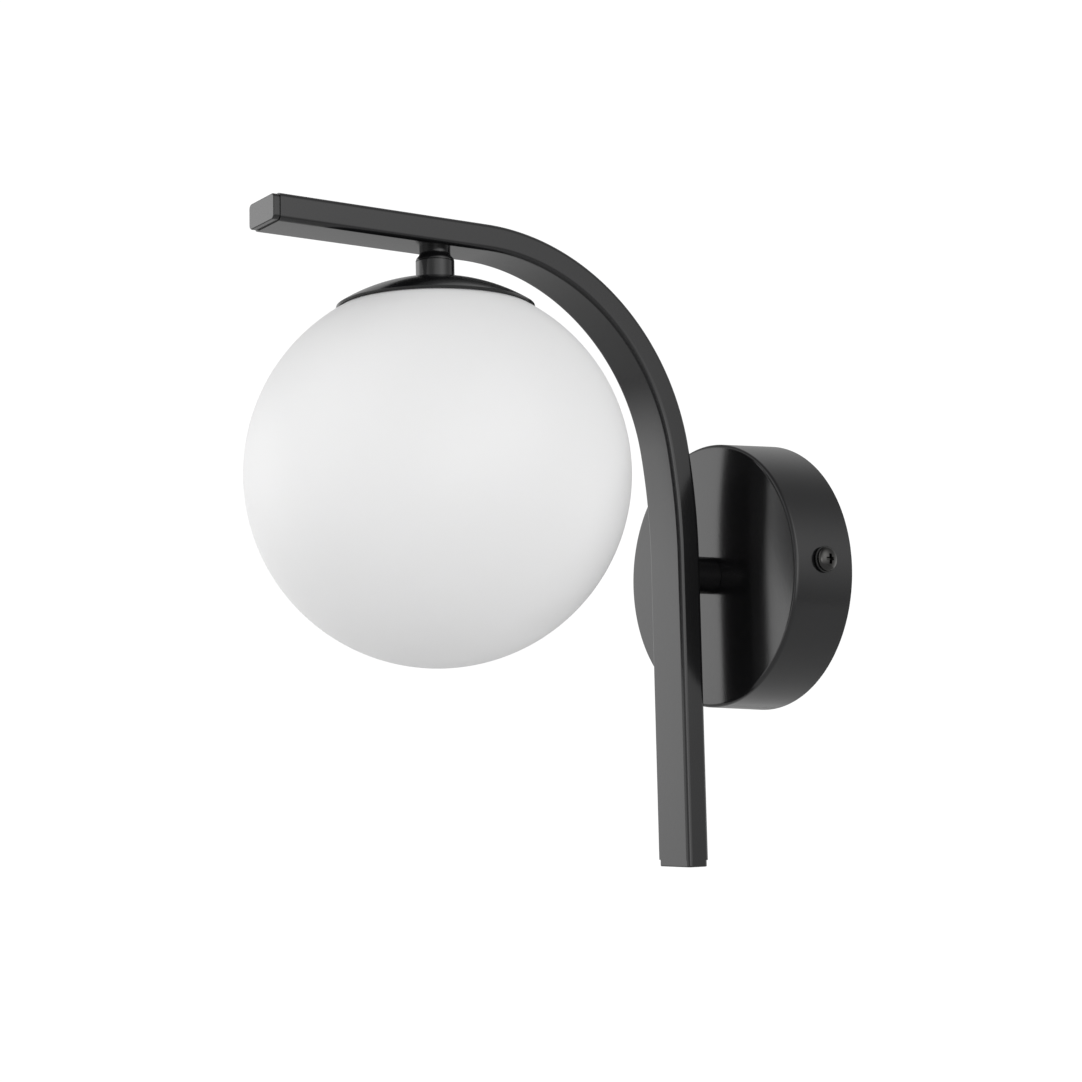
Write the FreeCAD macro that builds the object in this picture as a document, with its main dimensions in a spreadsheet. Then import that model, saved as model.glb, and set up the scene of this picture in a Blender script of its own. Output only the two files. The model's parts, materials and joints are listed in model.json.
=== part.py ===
"""Globe wall sconce: canopy, bent flat tube, neck, dish, opal globe and the parts inside them.

Millimetres, +Z up. The wall is the plane Y = 0 and the light stands out from it towards -Y. The origin is the
middle of the canopy on the wall, and X = 0 is the plane of symmetry of the arm.
"""

import FreeCAD, Part
import math
import os
import Sketcher
from FreeCAD import Placement, Rotation, Vector

doc = FreeCAD.newDocument("GlobeWallSconce")
sheet = doc.addObject("Spreadsheet::Sheet", "Sizes")


class Size:
    """A length: the number it has now and the sheet formula that binds a feature to it."""

    def __init__(self, number, formula):
        self.number = float(number)
        self.formula = formula

    def _join(self, other, sign, number):
        return Size(number, f"({self.formula} {sign} {as_size(other).formula})")

    def __add__(self, other):
        return self._join(other, "+", self.number + as_size(other).number)

    def __sub__(self, other):
        return self._join(other, "-", self.number - as_size(other).number)

    def __mul__(self, other):
        return self._join(other, "*", self.number * as_size(other).number)

    def __truediv__(self, other):
        return self._join(other, "/", self.number / as_size(other).number)

    def __neg__(self):
        return Size(-self.number, f"(0 - {self.formula})")


def as_size(value):
    return value if isinstance(value, Size) else Size(value, repr(float(value)))


def root(size):
    """Square root of a size, for the height of a sphere at a given radius."""
    return Size(math.sqrt(size.number), f"sqrt({size.formula})")


def sphere_height(sphere, radius):
    """Height of a sphere's surface over its centre, at a radius from its axis."""
    return root(sphere * sphere - radius * radius)


sheet_rows = 0


def size(alias, number, meaning):
    """Write one driving dimension into the sheet and return it."""
    global sheet_rows
    sheet_rows += 1
    sheet.set(f"A{sheet_rows}", meaning)
    sheet.set(f"B{sheet_rows}", str(number))
    sheet.setAlias(f"B{sheet_rows}", alias)
    return Size(number, f"Sizes.{alias}")


# Clearances shared by the fits
thread_gap = size("thread_gap", 0.05, "radial clearance of a screw or nipple in its thread")
hole_gap = size("hole_gap", 0.15, "radial clearance of a nipple in a plain hole")
fit_gap = size("fit_gap", 0.1, "gap round a pushed-in or hung piece")
moving_gap = size("moving_gap", 0.3, "gap between faces that part when something moves")

# Canopy
canopy_radius = size("canopy_radius", 52.6, "outside radius of the canopy at the wall")
canopy_draft = size("canopy_draft", 1.0, "how much smaller the canopy's radius is at its front")
canopy_depth = size("canopy_depth", 27.0, "wall to the canopy's front face")
canopy_wall = size("canopy_wall", 1.0, "sheet thickness of the canopy")
canopy_edge = size("canopy_edge", 1.5, "outside radius of the canopy's front edge")

# Strap on the wall
strap_width = size("strap_width", 18.0, "height of the strap on the wall")
strap_thickness = size("strap_thickness", 1.5, "thickness of the strap")
strap_bend = size("strap_bend", 1.5, "inside bend radius of the strap")
ear_depth = size("ear_depth", 20.0, "how far the strap's ears stand off the wall")
wall_slot_spacing = size("wall_slot_spacing", 70.0, "distance between the two wall screws")
wall_slot_width = size("wall_slot_width", 4.5, "width of a wall screw slot")
wall_slot_length = size("wall_slot_length", 10.0, "length of a wall screw slot")
cable_hole = size("cable_hole", 10.0, "diameter of the hole for the supply cable")
earth_place = size("earth_place", 17.0, "earth screw's distance from the middle")

# Side screws of the canopy
side_screw_depth = size("side_screw_depth", 13.3, "distance of the side screws from the wall")
side_screw_rise = size("side_screw_rise", 1.9, "height of the side screws over the canopy's middle")
side_screw_size = size("side_screw_size", 4.0, "thread diameter of the side screws")
side_screw_reach = size("side_screw_reach", 3.0, "how far a side screw passes its ear")
side_head_radius = size("side_head_radius", 4.2, "radius of a side screw's head")
side_head_thick = size("side_head_thick", 3.6, "thickness of a side screw's head")
side_head_crown = size("side_head_crown", 0.5, "how much the head rises from its edge to its middle")
side_head_round = size("side_head_round", 1.3, "rounding of the head's edge")
side_cross_reach = size("side_cross_reach", 2.2, "half the span of the cross in the head")
side_cross_foot = size("side_cross_foot", 0.9, "half the span of the cross at its bottom")
side_cross_width = size("side_cross_width", 1.1, "width of the cross's arms")
side_cross_depth = size("side_cross_depth", 2.0, "depth of the cross")
side_washer_radius = size("side_washer_radius", 5.1, "outside radius of the washer under the head")
side_washer_thick = size("side_washer_thick", 0.6, "thickness of the washer under the head")

# Spacer and its hollow threaded rod
stub_radius = size("stub_radius", 7.3, "outside radius of the spacer")
stub_length = size("stub_length", 12.0, "canopy face to the back of the tube")
stub_thread = size("stub_thread", 10.0, "thread diameter of the rod through the canopy")
stub_bore = size("stub_bore", 7.0, "bore of the rod through the canopy")
stub_entry = size("stub_entry", 9.0, "depth of the rod in the spacer")
stub_overhang = size("stub_overhang", 2.0, "how far the rod stands past its nut")
stub_nut_flats = size("stub_nut_flats", 14.0, "width of the canopy nut over its flats")
stub_nut_height = size("stub_nut_height", 4.0, "height of the canopy nut")
stub_washer_radius = size("stub_washer_radius", 9.0, "outside radius of the toothed washer in the canopy")
washer_thick = size("washer_thick", 0.8, "thickness of a toothed washer or tag")
liner_wall = size("liner_wall", 0.5, "wall of the liner that guards the wires")
liner_depth = size("liner_depth", 5.0, "depth of the liner in the rod")
liner_flange = size("liner_flange", 1.0, "thickness of the liner's flange")

# Bent tube
tube_width = size("tube_width", 20.0, "width of the tube, along the wall")
tube_depth = size("tube_depth", 10.0, "thickness of the tube in the plane of its bend")
tube_wall = size("tube_wall", 1.2, "wall of the tube")
tube_corner = size("tube_corner", 1.9, "outside corner radius of the tube")
bend_radius = size("bend_radius", 86.8, "radius of the bend at the tube's middle")
ease_radius = size("ease_radius", 254.0, "radius of the gentle run out of the bend into the leg")
ease_start = size("ease_start", 5.2, "height over the spacer's middle where the leg starts to curve")
arm_top = size("arm_top", 125.4, "top of the level arm over the canopy's middle")
arm_reach = size("arm_reach", 218.4, "wall to the tube's free end")
foot_drop = size("foot_drop", 109.8, "canopy's middle down to the tube's lower end")

# Plugs in the tube's ends
plug_thick = size("plug_thick", 2.5, "thickness of a plug's visible cap")
plug_inset = size("plug_inset", 0.4, "step between a plug's cap and the tube, all round")
plug_edge = size("plug_edge", 0.45, "edge radius of a plug's cap")
plug_insert = size("plug_insert", 9.0, "depth of a plug in the tube")
plug_wall = size("plug_wall", 1.6, "wall of the hollow part of a plug")
plug_rib = size("plug_rib", 0.8, "thickness of a plug's gripping rib")

# Neck
globe_reach = size("globe_reach", 150.7, "wall to the axis of the neck and globe")
boss_radius = size("boss_radius", 5.7, "radius of the boss where it meets the arm")
boss_straight = size("boss_straight", 1.4, "straight part of the boss, down to its flare")
boss_flare = size("boss_flare", 3.1, "height of the boss's flare")
collar_radius = size("collar_radius", 7.1, "radius of the collar")
collar_height = size("collar_height", 6.9, "height of the collar")
neck_thread = size("neck_thread", 8.0, "thread diameter of the rod in the neck")
neck_bore = size("neck_bore", 5.5, "bore of the rod in the neck")
neck_overhang = size("neck_overhang", 1.2, "how far the rod in the neck stands past its nut or wall")
neck_nut_flats = size("neck_nut_flats", 12.0, "width of the neck's nut over its flats")
neck_nut_height = size("neck_nut_height", 4.0, "height of the neck's nut")
neck_washer_radius = size("neck_washer_radius", 6.5, "outside radius of the neck's toothed washer")

# Dish
dish_step = size("dish_step", 3.0, "how much smaller the dish's sphere radius is than the globe's")
dish_thick = size("dish_thick", 1.0, "sheet thickness of the dish")
dish_seat = size("dish_seat", 8.0, "radius of the flat in the middle of the dish")
dish_rim = size("dish_rim", 36.3, "radius of the dish's rim")

# Globe
globe_radius = size("globe_radius", 70.0, "outside radius of the globe")
glass_wall = size("glass_wall", 2.5, "thickness of the glass")
rim_outer = size("rim_outer", 21.86, "outside radius of the globe's ground rim")
mouth_radius = size("mouth_radius", 17.0, "bore of the globe's threaded mouth")
mouth_wall = size("mouth_wall", 3.0, "wall of the globe's threaded mouth")
mouth_depth = size("mouth_depth", 9.0, "depth of the globe's threaded mouth")
gasket_thick = size("gasket_thick", 0.9, "thickness of the silicone ring")
gasket_width = size("gasket_width", 3.2, "width of the silicone ring")
gasket_gap = size("gasket_gap", 0.4, "gap between the silicone ring and the dish")

# Threaded ring that carries the globe
carrier_hub = size("carrier_hub", 7.0, "radius of the ring's raised hub under the dish")
carrier_rise = size("carrier_rise", 2.0, "height of that hub")
carrier_floor = size("carrier_floor", 1.5, "thickness of the ring's floor")
carrier_wall = size("carrier_wall", 1.5, "wall of the ring's threaded skirt")
carrier_skirt = size("carrier_skirt", 8.5, "depth of the ring's threaded skirt")

# Stirrup, lampholder and contacts
stirrup_thick = size("stirrup_thick", 1.2, "thickness of the stirrup")
stirrup_width = size("stirrup_width", 9.0, "width of the stirrup")
stirrup_drop = size("stirrup_drop", 23.0, "height of the stirrup")
stirrup_bend = size("stirrup_bend", 1.0, "inside bend radius of the stirrup")
holder_top = size("holder_top", 14.9, "underside of the ring's floor down to the lampholder")
holder_width = size("holder_width", 22.0, "width of the lampholder")
holder_depth = size("holder_depth", 14.0, "thickness of the lampholder")
holder_height = size("holder_height", 19.0, "height of the lampholder")
holder_corner = size("holder_corner", 2.5, "corner radius of the lampholder")
holder_screw_size = size("holder_screw_size", 3.0, "thread diameter of the lampholder's screws")
holder_screw_drop = size("holder_screw_drop", 4.0, "lampholder's top down to its side screws")
holder_screw_reach = size("holder_screw_reach", 3.0, "depth of the side screws in the lampholder")
holder_head_radius = size("holder_head_radius", 2.6, "radius of a side screw's head")
holder_head_thick = size("holder_head_thick", 1.5, "thickness of a side screw's head")
lamp_slot_width = size("lamp_slot_width", 17.0, "width of the slot for the lamp's tongue")
lamp_slot_depth = size("lamp_slot_depth", 5.6, "thickness of that slot")
lamp_slot_height = size("lamp_slot_height", 8.0, "height of that slot")
pin_offset = size("pin_offset", 4.5, "distance of each pin from the lamp's axis")
contact_width = size("contact_width", 3.6, "width of a spring contact")
contact_depth = size("contact_depth", 2.5, "distance over a contact's two leaves")
contact_height = size("contact_height", 7.0, "height of a contact")
contact_sheet = size("contact_sheet", 0.5, "sheet thickness of a contact")

# Lamp
tongue_height = size("tongue_height", 7.6, "height of the lamp's tongue")
pin_wire = size("pin_wire", 0.9, "thickness of a pin's wire loop")
pin_loop = size("pin_loop", 3.0, "width over a pin's wire loop")
pin_height = size("pin_height", 5.0, "height of a pin over the tongue")
lamp_radius = size("lamp_radius", 8.0, "radius of the lamp")
lamp_base_height = size("lamp_base_height", 9.0, "height of the lamp's base under the lampholder")
lamp_cover_height = size("lamp_cover_height", 31.0, "length of the lamp's cover")
lamp_cover_wall = size("lamp_cover_wall", 1.0, "wall of the lamp's cover")

# Connector block and earth
block_length = size("block_length", 16.0, "length of the connector over its two poles")
block_depth = size("block_depth", 17.0, "length of a pole of the connector")
block_height = size("block_height", 12.0, "height of the connector off the strap")
block_place = size("block_place", 18.0, "connector's distance from the middle")
pole_spacing = size("pole_spacing", 8.0, "distance between the connector's poles")
pole_radius = size("pole_radius", 2.0, "outside radius of a pole's tube")
pole_bore = size("pole_bore", 1.3, "inside radius of a pole's tube")
pole_screw_spacing = size("pole_screw_spacing", 8.0, "distance between a pole's two screws")
pole_screw_radius = size("pole_screw_radius", 1.3, "radius of a pole's screw")
pole_screw_length = size("pole_screw_length", 4.0, "length of a pole's screw")
earth_screw_size = size("earth_screw_size", 4.0, "thread diameter of the earth screw")
earth_head_radius = size("earth_head_radius", 3.6, "radius of the earth screw's head")
earth_head_thick = size("earth_head_thick", 2.4, "thickness of the earth screw's head")
tag_radius = size("tag_radius", 8.0, "outside radius of the earth tag's ring")
tag_tail = size("tag_tail", 7.0, "length of the earth tag's tail")
tag_tail_width = size("tag_tail_width", 4.0, "width of the earth tag's tail")
earth_loop = size("earth_loop", 8.5, "how far the earth wire goes out past its screw")
earth_grip = size("earth_grip", 1.0, "gap between the earth screw's shank and the wire's end")

# Wires
wire_radius = size("wire_radius", 0.9, "outside radius of a wire")
wire_spread = size("wire_spread", 1.1, "distance of each wire from the middle of the tube")
wire_turn = size("wire_turn", 4.0, "bend radius of a wire where it turns a tight corner")
wire_strip = size("wire_strip", 4.0, "depth of a wire in the lampholder")
wire_lead = size("wire_lead", 2.0, "straight run of a wire over the lampholder")
wire_rise = size("wire_rise", 8.0, "how far a wire stands up out of the connector")
wire_run = size("wire_run", 6.4, "straight run of a wire before the rod in the canopy")

# Places that follow from the sizes above
leg_back = canopy_depth + stub_length
leg_middle = leg_back + tube_depth / 2
arm_underside = arm_top - tube_depth
arm_middle = arm_top - tube_depth / 2
boss_bottom = arm_underside - boss_straight - boss_flare
seat_height = boss_bottom - collar_height
dish_sphere = globe_radius - dish_step
dish_centre = seat_height - sphere_height(dish_sphere, dish_seat)
dish_inside = dish_sphere - dish_thick
gasket_bore = mouth_radius + moving_gap
gasket_outer = gasket_bore + gasket_width
gasket_bottom = dish_centre + sphere_height(dish_inside, gasket_outer) - gasket_gap - gasket_thick
rim_height = gasket_bottom - fit_gap
mouth_height = sphere_height(globe_radius, rim_outer)
globe_centre = rim_height - mouth_height
carrier_top = seat_height - dish_thick
carrier_under = carrier_top - carrier_rise - carrier_floor
stirrup_under = carrier_under - stirrup_thick
neck_nut_top = stirrup_under - washer_thick
neck_nut_under = neck_nut_top - neck_nut_height
holder_level = carrier_under - holder_top
holder_under = holder_level - holder_height
slot_roof = holder_under + lamp_slot_height
cup_front = canopy_depth - canopy_wall
canopy_front = canopy_radius - canopy_draft
cup_inside = canopy_radius - canopy_draft * cup_front / canopy_depth - canopy_wall
ear_room = canopy_radius - canopy_draft * ear_depth / canopy_depth - canopy_wall
ear_face = root(ear_room * ear_room - strap_width * strap_width / 4) - moving_gap
stub_nut_face = cup_front - washer_thick - washer_thick
stub_rod_end = stub_nut_face - stub_nut_height - stub_overhang

FACING_OUT = Rotation(Vector(1, 0, 0), 90)
FACING_RIGHT = Rotation(Vector(0, 1, 0), 90)
FACING_LEFT = Rotation(Vector(0, 1, 0), -90)
FACING_DOWN = Rotation(Vector(1, 0, 0), 180)
UPRIGHT = Rotation()

nodes = {}


def bind(target, property_name, length):
    """Tie a property to the sheet, or set it where it is a plain number."""
    if isinstance(length, Size):
        target.setExpression(property_name, length.formula)


def place(piece, at, turn=UPRIGHT):
    """Put a piece at a point made of sizes, with a fixed turn."""
    at = [as_size(value) for value in at]
    piece.Placement = Placement(Vector(*[value.number for value in at]), turn)
    for axis, value in zip("xyz", at):
        bind(piece, f"Placement.Base.{axis}", value)


def new_body(label, at=(0, 0, 0), turn=UPRIGHT):
    """Start a sub-part: its label names its file."""
    body = doc.addObject("PartDesign::Body", label)
    body.Label = label
    place(body, at, turn)
    nodes[label] = body
    return body


def new_sketch(body, plane, name, lift=None):
    """Sketch on one of the body's own origin planes, raised along the plane's normal."""
    sketch = body.newObject("Sketcher::SketchObject", f"{body.Name}_{name}")
    support = next(item for item in body.Origin.OriginFeatures if item.Role == plane)
    sketch.AttachmentSupport = [(support, "")]
    sketch.MapMode = "FlatFace"
    if lift is not None:
        lift = as_size(lift)
        sketch.AttachmentOffset = Placement(Vector(0, 0, lift.number), Rotation())
        bind(sketch, "AttachmentOffset.Base.z", lift)
    return sketch


def hold(sketch, kind, places, length):
    """Add one dimension to a sketch and tie it to the sheet."""
    length = as_size(length)
    index = sketch.addConstraint(Sketcher.Constraint(kind, *places, length.number))
    sketch.setExpression(f"Constraints[{index}]", length.formula)


def hold_point(sketch, edge, end, x, y):
    """Fix a point of an edge by its two distances from the sketch's origin."""
    for kind, value in (("X", as_size(x)), ("Y", as_size(y))):
        if value.number == 0.0:
            axis = -2 if kind == "X" else -1
            sketch.addConstraint(Sketcher.Constraint("PointOnObject", edge, end, axis))
        elif value.number < 0.0:
            hold(sketch, f"Distance{kind}", (edge, end, -1, 1), -value)
        else:
            hold(sketch, f"Distance{kind}", (-1, 1, edge, end), value)


def add_outline(sketch, corners):
    """Closed outline of straight edges through corners given by sizes."""
    points = [Vector(as_size(x).number, as_size(y).number, 0) for x, y in corners]
    first = sketch.GeometryCount
    count = len(points)
    for index, point in enumerate(points):
        sketch.addGeometry(Part.LineSegment(point, points[(index + 1) % count]), False)
    for index in range(count):
        follower = first + (index + 1) % count
        sketch.addConstraint(Sketcher.Constraint("Coincident", first + index, 2, follower, 1))
    for index, (x, y) in enumerate(corners):
        hold_point(sketch, first + index, 1, x, y)


def add_box(sketch, low_x, low_y, high_x, high_y):
    """Closed rectangle between two opposite corners."""
    add_outline(sketch, [(low_x, low_y), (high_x, low_y), (high_x, high_y), (low_x, high_y)])


def add_circle(sketch, x, y, radius):
    """Circle held by its centre and radius."""
    centre = Vector(as_size(x).number, as_size(y).number, 0)
    circle = Part.Circle(centre, Vector(0, 0, 1), as_size(radius).number)
    edge = sketch.addGeometry(circle, False)
    hold_point(sketch, edge, 3, x, y)
    hold(sketch, "Radius", (edge,), radius)


def add_arc(sketch, centre_y, radius, start_x, end_x):
    """Arc over the sketch's Y axis, from one distance off that axis to another. Returns its edge."""
    height = as_size(centre_y).number
    reach = as_size(radius).number
    angles = sorted(math.acos(as_size(x).number / reach) for x in (start_x, end_x))
    circle = Part.Circle(Vector(0, height, 0), Vector(0, 0, 1), reach)
    edge = sketch.addGeometry(Part.ArcOfCircle(circle, *angles), False)
    hold_point(sketch, edge, 3, 0, centre_y)
    hold(sketch, "Radius", (edge,), radius)
    outer, inner = sorted((start_x, end_x), key=lambda x: as_size(x).number, reverse=True)
    hold(sketch, "DistanceX", (-1, 1, edge, 1), outer)
    hold(sketch, "DistanceX", (-1, 1, edge, 2), inner)
    return edge


def add_slot(sketch, x, y, length, width):
    """Round-ended slot along the sketch's X axis."""
    half = (as_size(length) - width) / 2
    end_radius = as_size(width) / 2
    middle = Vector(as_size(x).number, as_size(y).number, 0)
    step = Vector(half.number, 0, 0)
    rise = Vector(0, end_radius.number, 0)
    normal = Vector(0, 0, 1)
    quarter = math.pi / 2
    right = sketch.addGeometry(
        Part.ArcOfCircle(Part.Circle(middle + step, normal, end_radius.number), -quarter, quarter), False
    )
    left = sketch.addGeometry(
        Part.ArcOfCircle(Part.Circle(middle - step, normal, end_radius.number), quarter, 3 * quarter), False
    )
    top = sketch.addGeometry(Part.LineSegment(middle + step + rise, middle - step + rise), False)
    bottom = sketch.addGeometry(Part.LineSegment(middle - step - rise, middle + step - rise), False)
    for one, one_end, other, other_end in (
        (right, 2, top, 1), (top, 2, left, 1), (left, 2, bottom, 1), (bottom, 2, right, 1)
    ):
        sketch.addConstraint(Sketcher.Constraint("Tangent", one, one_end, other, other_end))
    hold_point(sketch, right, 3, as_size(x) + half, y)
    hold_point(sketch, left, 3, as_size(x) - half, y)
    hold(sketch, "Radius", (right,), end_radius)
    hold(sketch, "Radius", (left,), end_radius)


def add_rounded_box(sketch, centre_y, width, height, corner):
    """Rectangle with round corners, centred on the sketch's Y axis."""
    width, height, corner, middle = (as_size(value) for value in (width, height, corner, centre_y))
    w, t, r, c = width.number / 2, height.number / 2, corner.number, middle.number
    normal = Vector(0, 0, 1)
    right, left, low, high = w - r, r - w, c - t + r, c + t - r
    corners = ((right, low, -90), (right, high, 0), (left, high, 90), (left, low, 180))
    edges = []
    for index, (x, y, start) in enumerate(corners):
        circle = Part.Circle(Vector(x, y, 0), normal, r)
        arc = Part.ArcOfCircle(circle, math.radians(start), math.radians(start + 90))
        after = corners[(index + 1) % 4]
        turn = math.radians(start + 90)
        reach = Vector(r * math.cos(turn), r * math.sin(turn), 0)
        line = Part.LineSegment(Vector(x, y, 0) + reach, Vector(after[0], after[1], 0) + reach)
        edges.append(sketch.addGeometry(arc, False))
        edges.append(sketch.addGeometry(line, False))
    for index in range(8):
        sketch.addConstraint(Sketcher.Constraint("Tangent", edges[index], 2, edges[(index + 1) % 8], 1))
    hold_point(sketch, edges[0], 3, width / 2 - corner, middle - height / 2 + corner)
    hold_point(sketch, edges[4], 3, corner - width / 2, middle + height / 2 - corner)
    for index in (0, 2, 4, 6):
        hold(sketch, "Radius", (edges[index],), corner)
    for index, kind in ((1, "Vertical"), (3, "Horizontal"), (5, "Vertical"), (7, "Horizontal")):
        sketch.addConstraint(Sketcher.Constraint(kind, edges[index]))


def revolve(body, sketch, name="Turned"):
    """Full turn of a sketch about its vertical axis."""
    feature = body.newObject("PartDesign::Revolution", f"{body.Name}_{name}")
    feature.Profile = sketch
    feature.ReferenceAxis = (sketch, ["V_Axis"])
    feature.Angle = 360.0
    sketch.Visibility = False
    return feature


def pad(body, sketch, length, name="Pad", both_ways=False):
    """Raise a sketch along its normal, or half each way."""
    feature = body.newObject("PartDesign::Pad", f"{body.Name}_{name}")
    feature.Profile = sketch
    feature.Length = as_size(length).number
    feature.SideType = "Symmetric" if both_ways else "One side"
    bind(feature, "Length", length)
    return feature


def pocket(body, sketch, length, name="Pocket", along_normal=False, both_ways=False):
    """Cut a sketch into the body, and make sure that it did cut."""
    doc.recompute()
    volume_before = body.Shape.Volume
    feature = body.newObject("PartDesign::Pocket", f"{body.Name}_{name}")
    feature.Profile = sketch
    feature.Length = as_size(length).number
    feature.SideType = "Symmetric" if both_ways else "One side"
    feature.Reversed = along_normal
    bind(feature, "Length", length)
    doc.recompute()
    if body.Shape.Volume > volume_before - 1e-6:
        raise RuntimeError(f"{feature.Name} cuts nothing")
    return feature


def round_edges(body, radius, wanted, name="Fillet"):
    """Round the edges of the body's last feature that the test picks out."""
    doc.recompute()
    tip = body.Tip
    edges = [f"Edge{number}" for number, edge in enumerate(tip.Shape.Edges, 1) if wanted(edge)]
    if not edges:
        raise RuntimeError(f"{body.Label} has no edge for {name}")
    feature = body.newObject("PartDesign::Fillet", f"{body.Name}_{name}")
    feature.Base = (tip, edges)
    feature.Radius = as_size(radius).number
    bind(feature, "Radius", radius)
    doc.recompute()
    return feature


def turned(label, outline, at=(0, 0, 0), turn=UPRIGHT):
    """Turned piece: an outline of (radius, height) corners swept once round its own vertical axis."""
    body = new_body(label, at, turn)
    sketch = new_sketch(body, "XZ_Plane", "outline")
    add_outline(sketch, outline)
    revolve(body, sketch)
    return body


def ring(label, inner, outer, height, at=(0, 0, 0), turn=UPRIGHT):
    """Plain ring that stands on its placement and grows upwards."""
    return turned(label, [(inner, 0), (outer, 0), (outer, height), (inner, height)], at, turn)


def add_hexagon(sketch, flats):
    """Regular hexagon about the origin with two flats parallel to the sketch's Y axis."""
    half = as_size(flats) / 2
    side = as_size(flats) / math.sqrt(3)
    add_outline(
        sketch,
        [
            (half, -(side / 2)), (half, side / 2), (0, side),
            (-half, side / 2), (-half, -(side / 2)), (0, -side),
        ],
    )


def hex_nut(label, flats, height, bore, at, turn=UPRIGHT):
    """Six-sided nut with a plain bore in place of its thread."""
    body = new_body(label, at, turn)
    sketch = new_sketch(body, "XY_Plane", "hexagon")
    add_hexagon(sketch, flats)
    add_circle(sketch, 0, 0, bore)
    pad(body, sketch, height)
    return body


def is_circle(edge, radius, level):
    """True for a circular edge of a given radius at a given height of its own body."""
    if not isinstance(edge.Curve, Part.Circle):
        return False
    same_radius = abs(edge.Curve.Radius - radius.number) < 1e-4
    return same_radius and abs(edge.CenterOfMass.z - level.number) < 1e-4


# Canopy: a pressed cup a little narrower in front, open to the wall, with a hole in front and two in its side
canopy_hole = stub_thread / 2 + hole_gap
canopy = turned(
    "wall_canopy",
    [
        (canopy_hole, cup_front), (cup_inside, cup_front), (canopy_radius - canopy_wall, 0), (canopy_radius, 0),
        (canopy_front, canopy_depth), (canopy_hole, canopy_depth),
    ],
    turn=FACING_OUT,
)
round_edges(canopy, canopy_edge, lambda edge: is_circle(edge, canopy_front, canopy_depth), "Edge")
inside_edge = canopy_edge - canopy_wall
round_edges(canopy, inside_edge, lambda edge: is_circle(edge, cup_inside, cup_front), "Inside")
canopy_side_holes = new_sketch(canopy, "YZ_Plane", "side_holes")
add_circle(canopy_side_holes, side_screw_rise, side_screw_depth, side_screw_size / 2 + hole_gap)
pocket(canopy, canopy_side_holes, canopy_radius * 2 + canopy_wall, "SideHoles", both_ways=True)

# Strap: a flat bar on the wall with its two ends bent outwards to take the side screws
strap = new_body("mounting_bracket", turn=FACING_OUT)
strap_section = new_sketch(strap, "XZ_Plane", "section")
ear_inner = ear_face - strap_thickness
add_outline(
    strap_section,
    [
        (-ear_face, 0), (ear_face, 0), (ear_face, ear_depth), (ear_inner, ear_depth),
        (ear_inner, strap_thickness),
        (-ear_inner, strap_thickness), (-ear_inner, ear_depth), (-ear_face, ear_depth),
    ],
)
pad(strap, strap_section, strap_width, both_ways=True)


def is_bend(edge, reach, level):
    """True for a straight edge across the strap at a given reach and level."""
    middle = edge.CenterOfMass
    at_reach = abs(abs(middle.x) - reach.number) < 1e-4
    return at_reach and abs(middle.z - level) < 1e-4 and abs(middle.y) < 1e-4


round_edges(strap, strap_bend, lambda edge: is_bend(edge, ear_inner, strap_thickness.number), "BendInside")
round_edges(strap, strap_bend + strap_thickness, lambda edge: is_bend(edge, ear_face, 0.0), "BendOutside")
strap_holes = new_sketch(strap, "XY_Plane", "holes")
add_circle(strap_holes, 0, 0, cable_hole / 2)
add_circle(strap_holes, earth_place, 0, earth_screw_size / 2 + thread_gap)
add_slot(strap_holes, wall_slot_spacing / 2, 0, wall_slot_length, wall_slot_width)
add_slot(strap_holes, -(wall_slot_spacing / 2), 0, wall_slot_length, wall_slot_width)
pocket(strap, strap_holes, strap_thickness * 2, "Holes", along_normal=True)
strap_ear_holes = new_sketch(strap, "YZ_Plane", "ear_holes")
add_circle(strap_ear_holes, side_screw_rise, side_screw_depth, side_screw_size / 2 + thread_gap)
pocket(strap, strap_ear_holes, ear_face * 2 + strap_thickness, "EarHoles", both_ways=True)

# Side screws: a pan head with a cross in it and a plain shank, each over a plastic washer
washer_back = side_screw_depth - side_washer_radius
washer_seat = canopy_radius - canopy_draft * washer_back / canopy_depth + moving_gap
head_seat = washer_seat + side_washer_thick
shank_length = head_seat - ear_inner + side_screw_reach
head_edge = side_head_thick - side_head_crown
cross_floor = side_head_thick - side_cross_depth
for side, facing, sign in (("right", FACING_RIGHT, 1), ("left", FACING_LEFT, -1)):
    washer_place = washer_seat * sign
    seat_place = head_seat * sign
    depth_place = -side_screw_depth
    ring(
        f"screw_washer_{side}", side_screw_size / 2 + thread_gap, side_washer_radius, side_washer_thick,
        (washer_place, depth_place, side_screw_rise), facing,
    )
    screw = turned(
        f"canopy_screw_{side}",
        [
            (0, -shank_length), (side_screw_size / 2, -shank_length), (side_screw_size / 2, 0),
            (side_head_radius, 0), (side_head_radius, head_edge), (0, side_head_thick),
        ],
        (seat_place, depth_place, side_screw_rise), facing,
    )
    round_edges(screw, side_head_round, lambda edge: is_circle(edge, side_head_radius, head_edge), "HeadEdge")
    for plane in ("XZ_Plane", "YZ_Plane"):
        cross = new_sketch(screw, plane, f"cross_{plane[0]}")
        add_outline(
            cross,
            [
                (-side_cross_reach, side_head_thick), (-side_cross_foot, cross_floor),
                (side_cross_foot, cross_floor), (side_cross_reach, side_head_thick),
            ],
        )
        pocket(screw, cross, side_cross_width, f"Cross{plane[0]}", both_ways=True)

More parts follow.
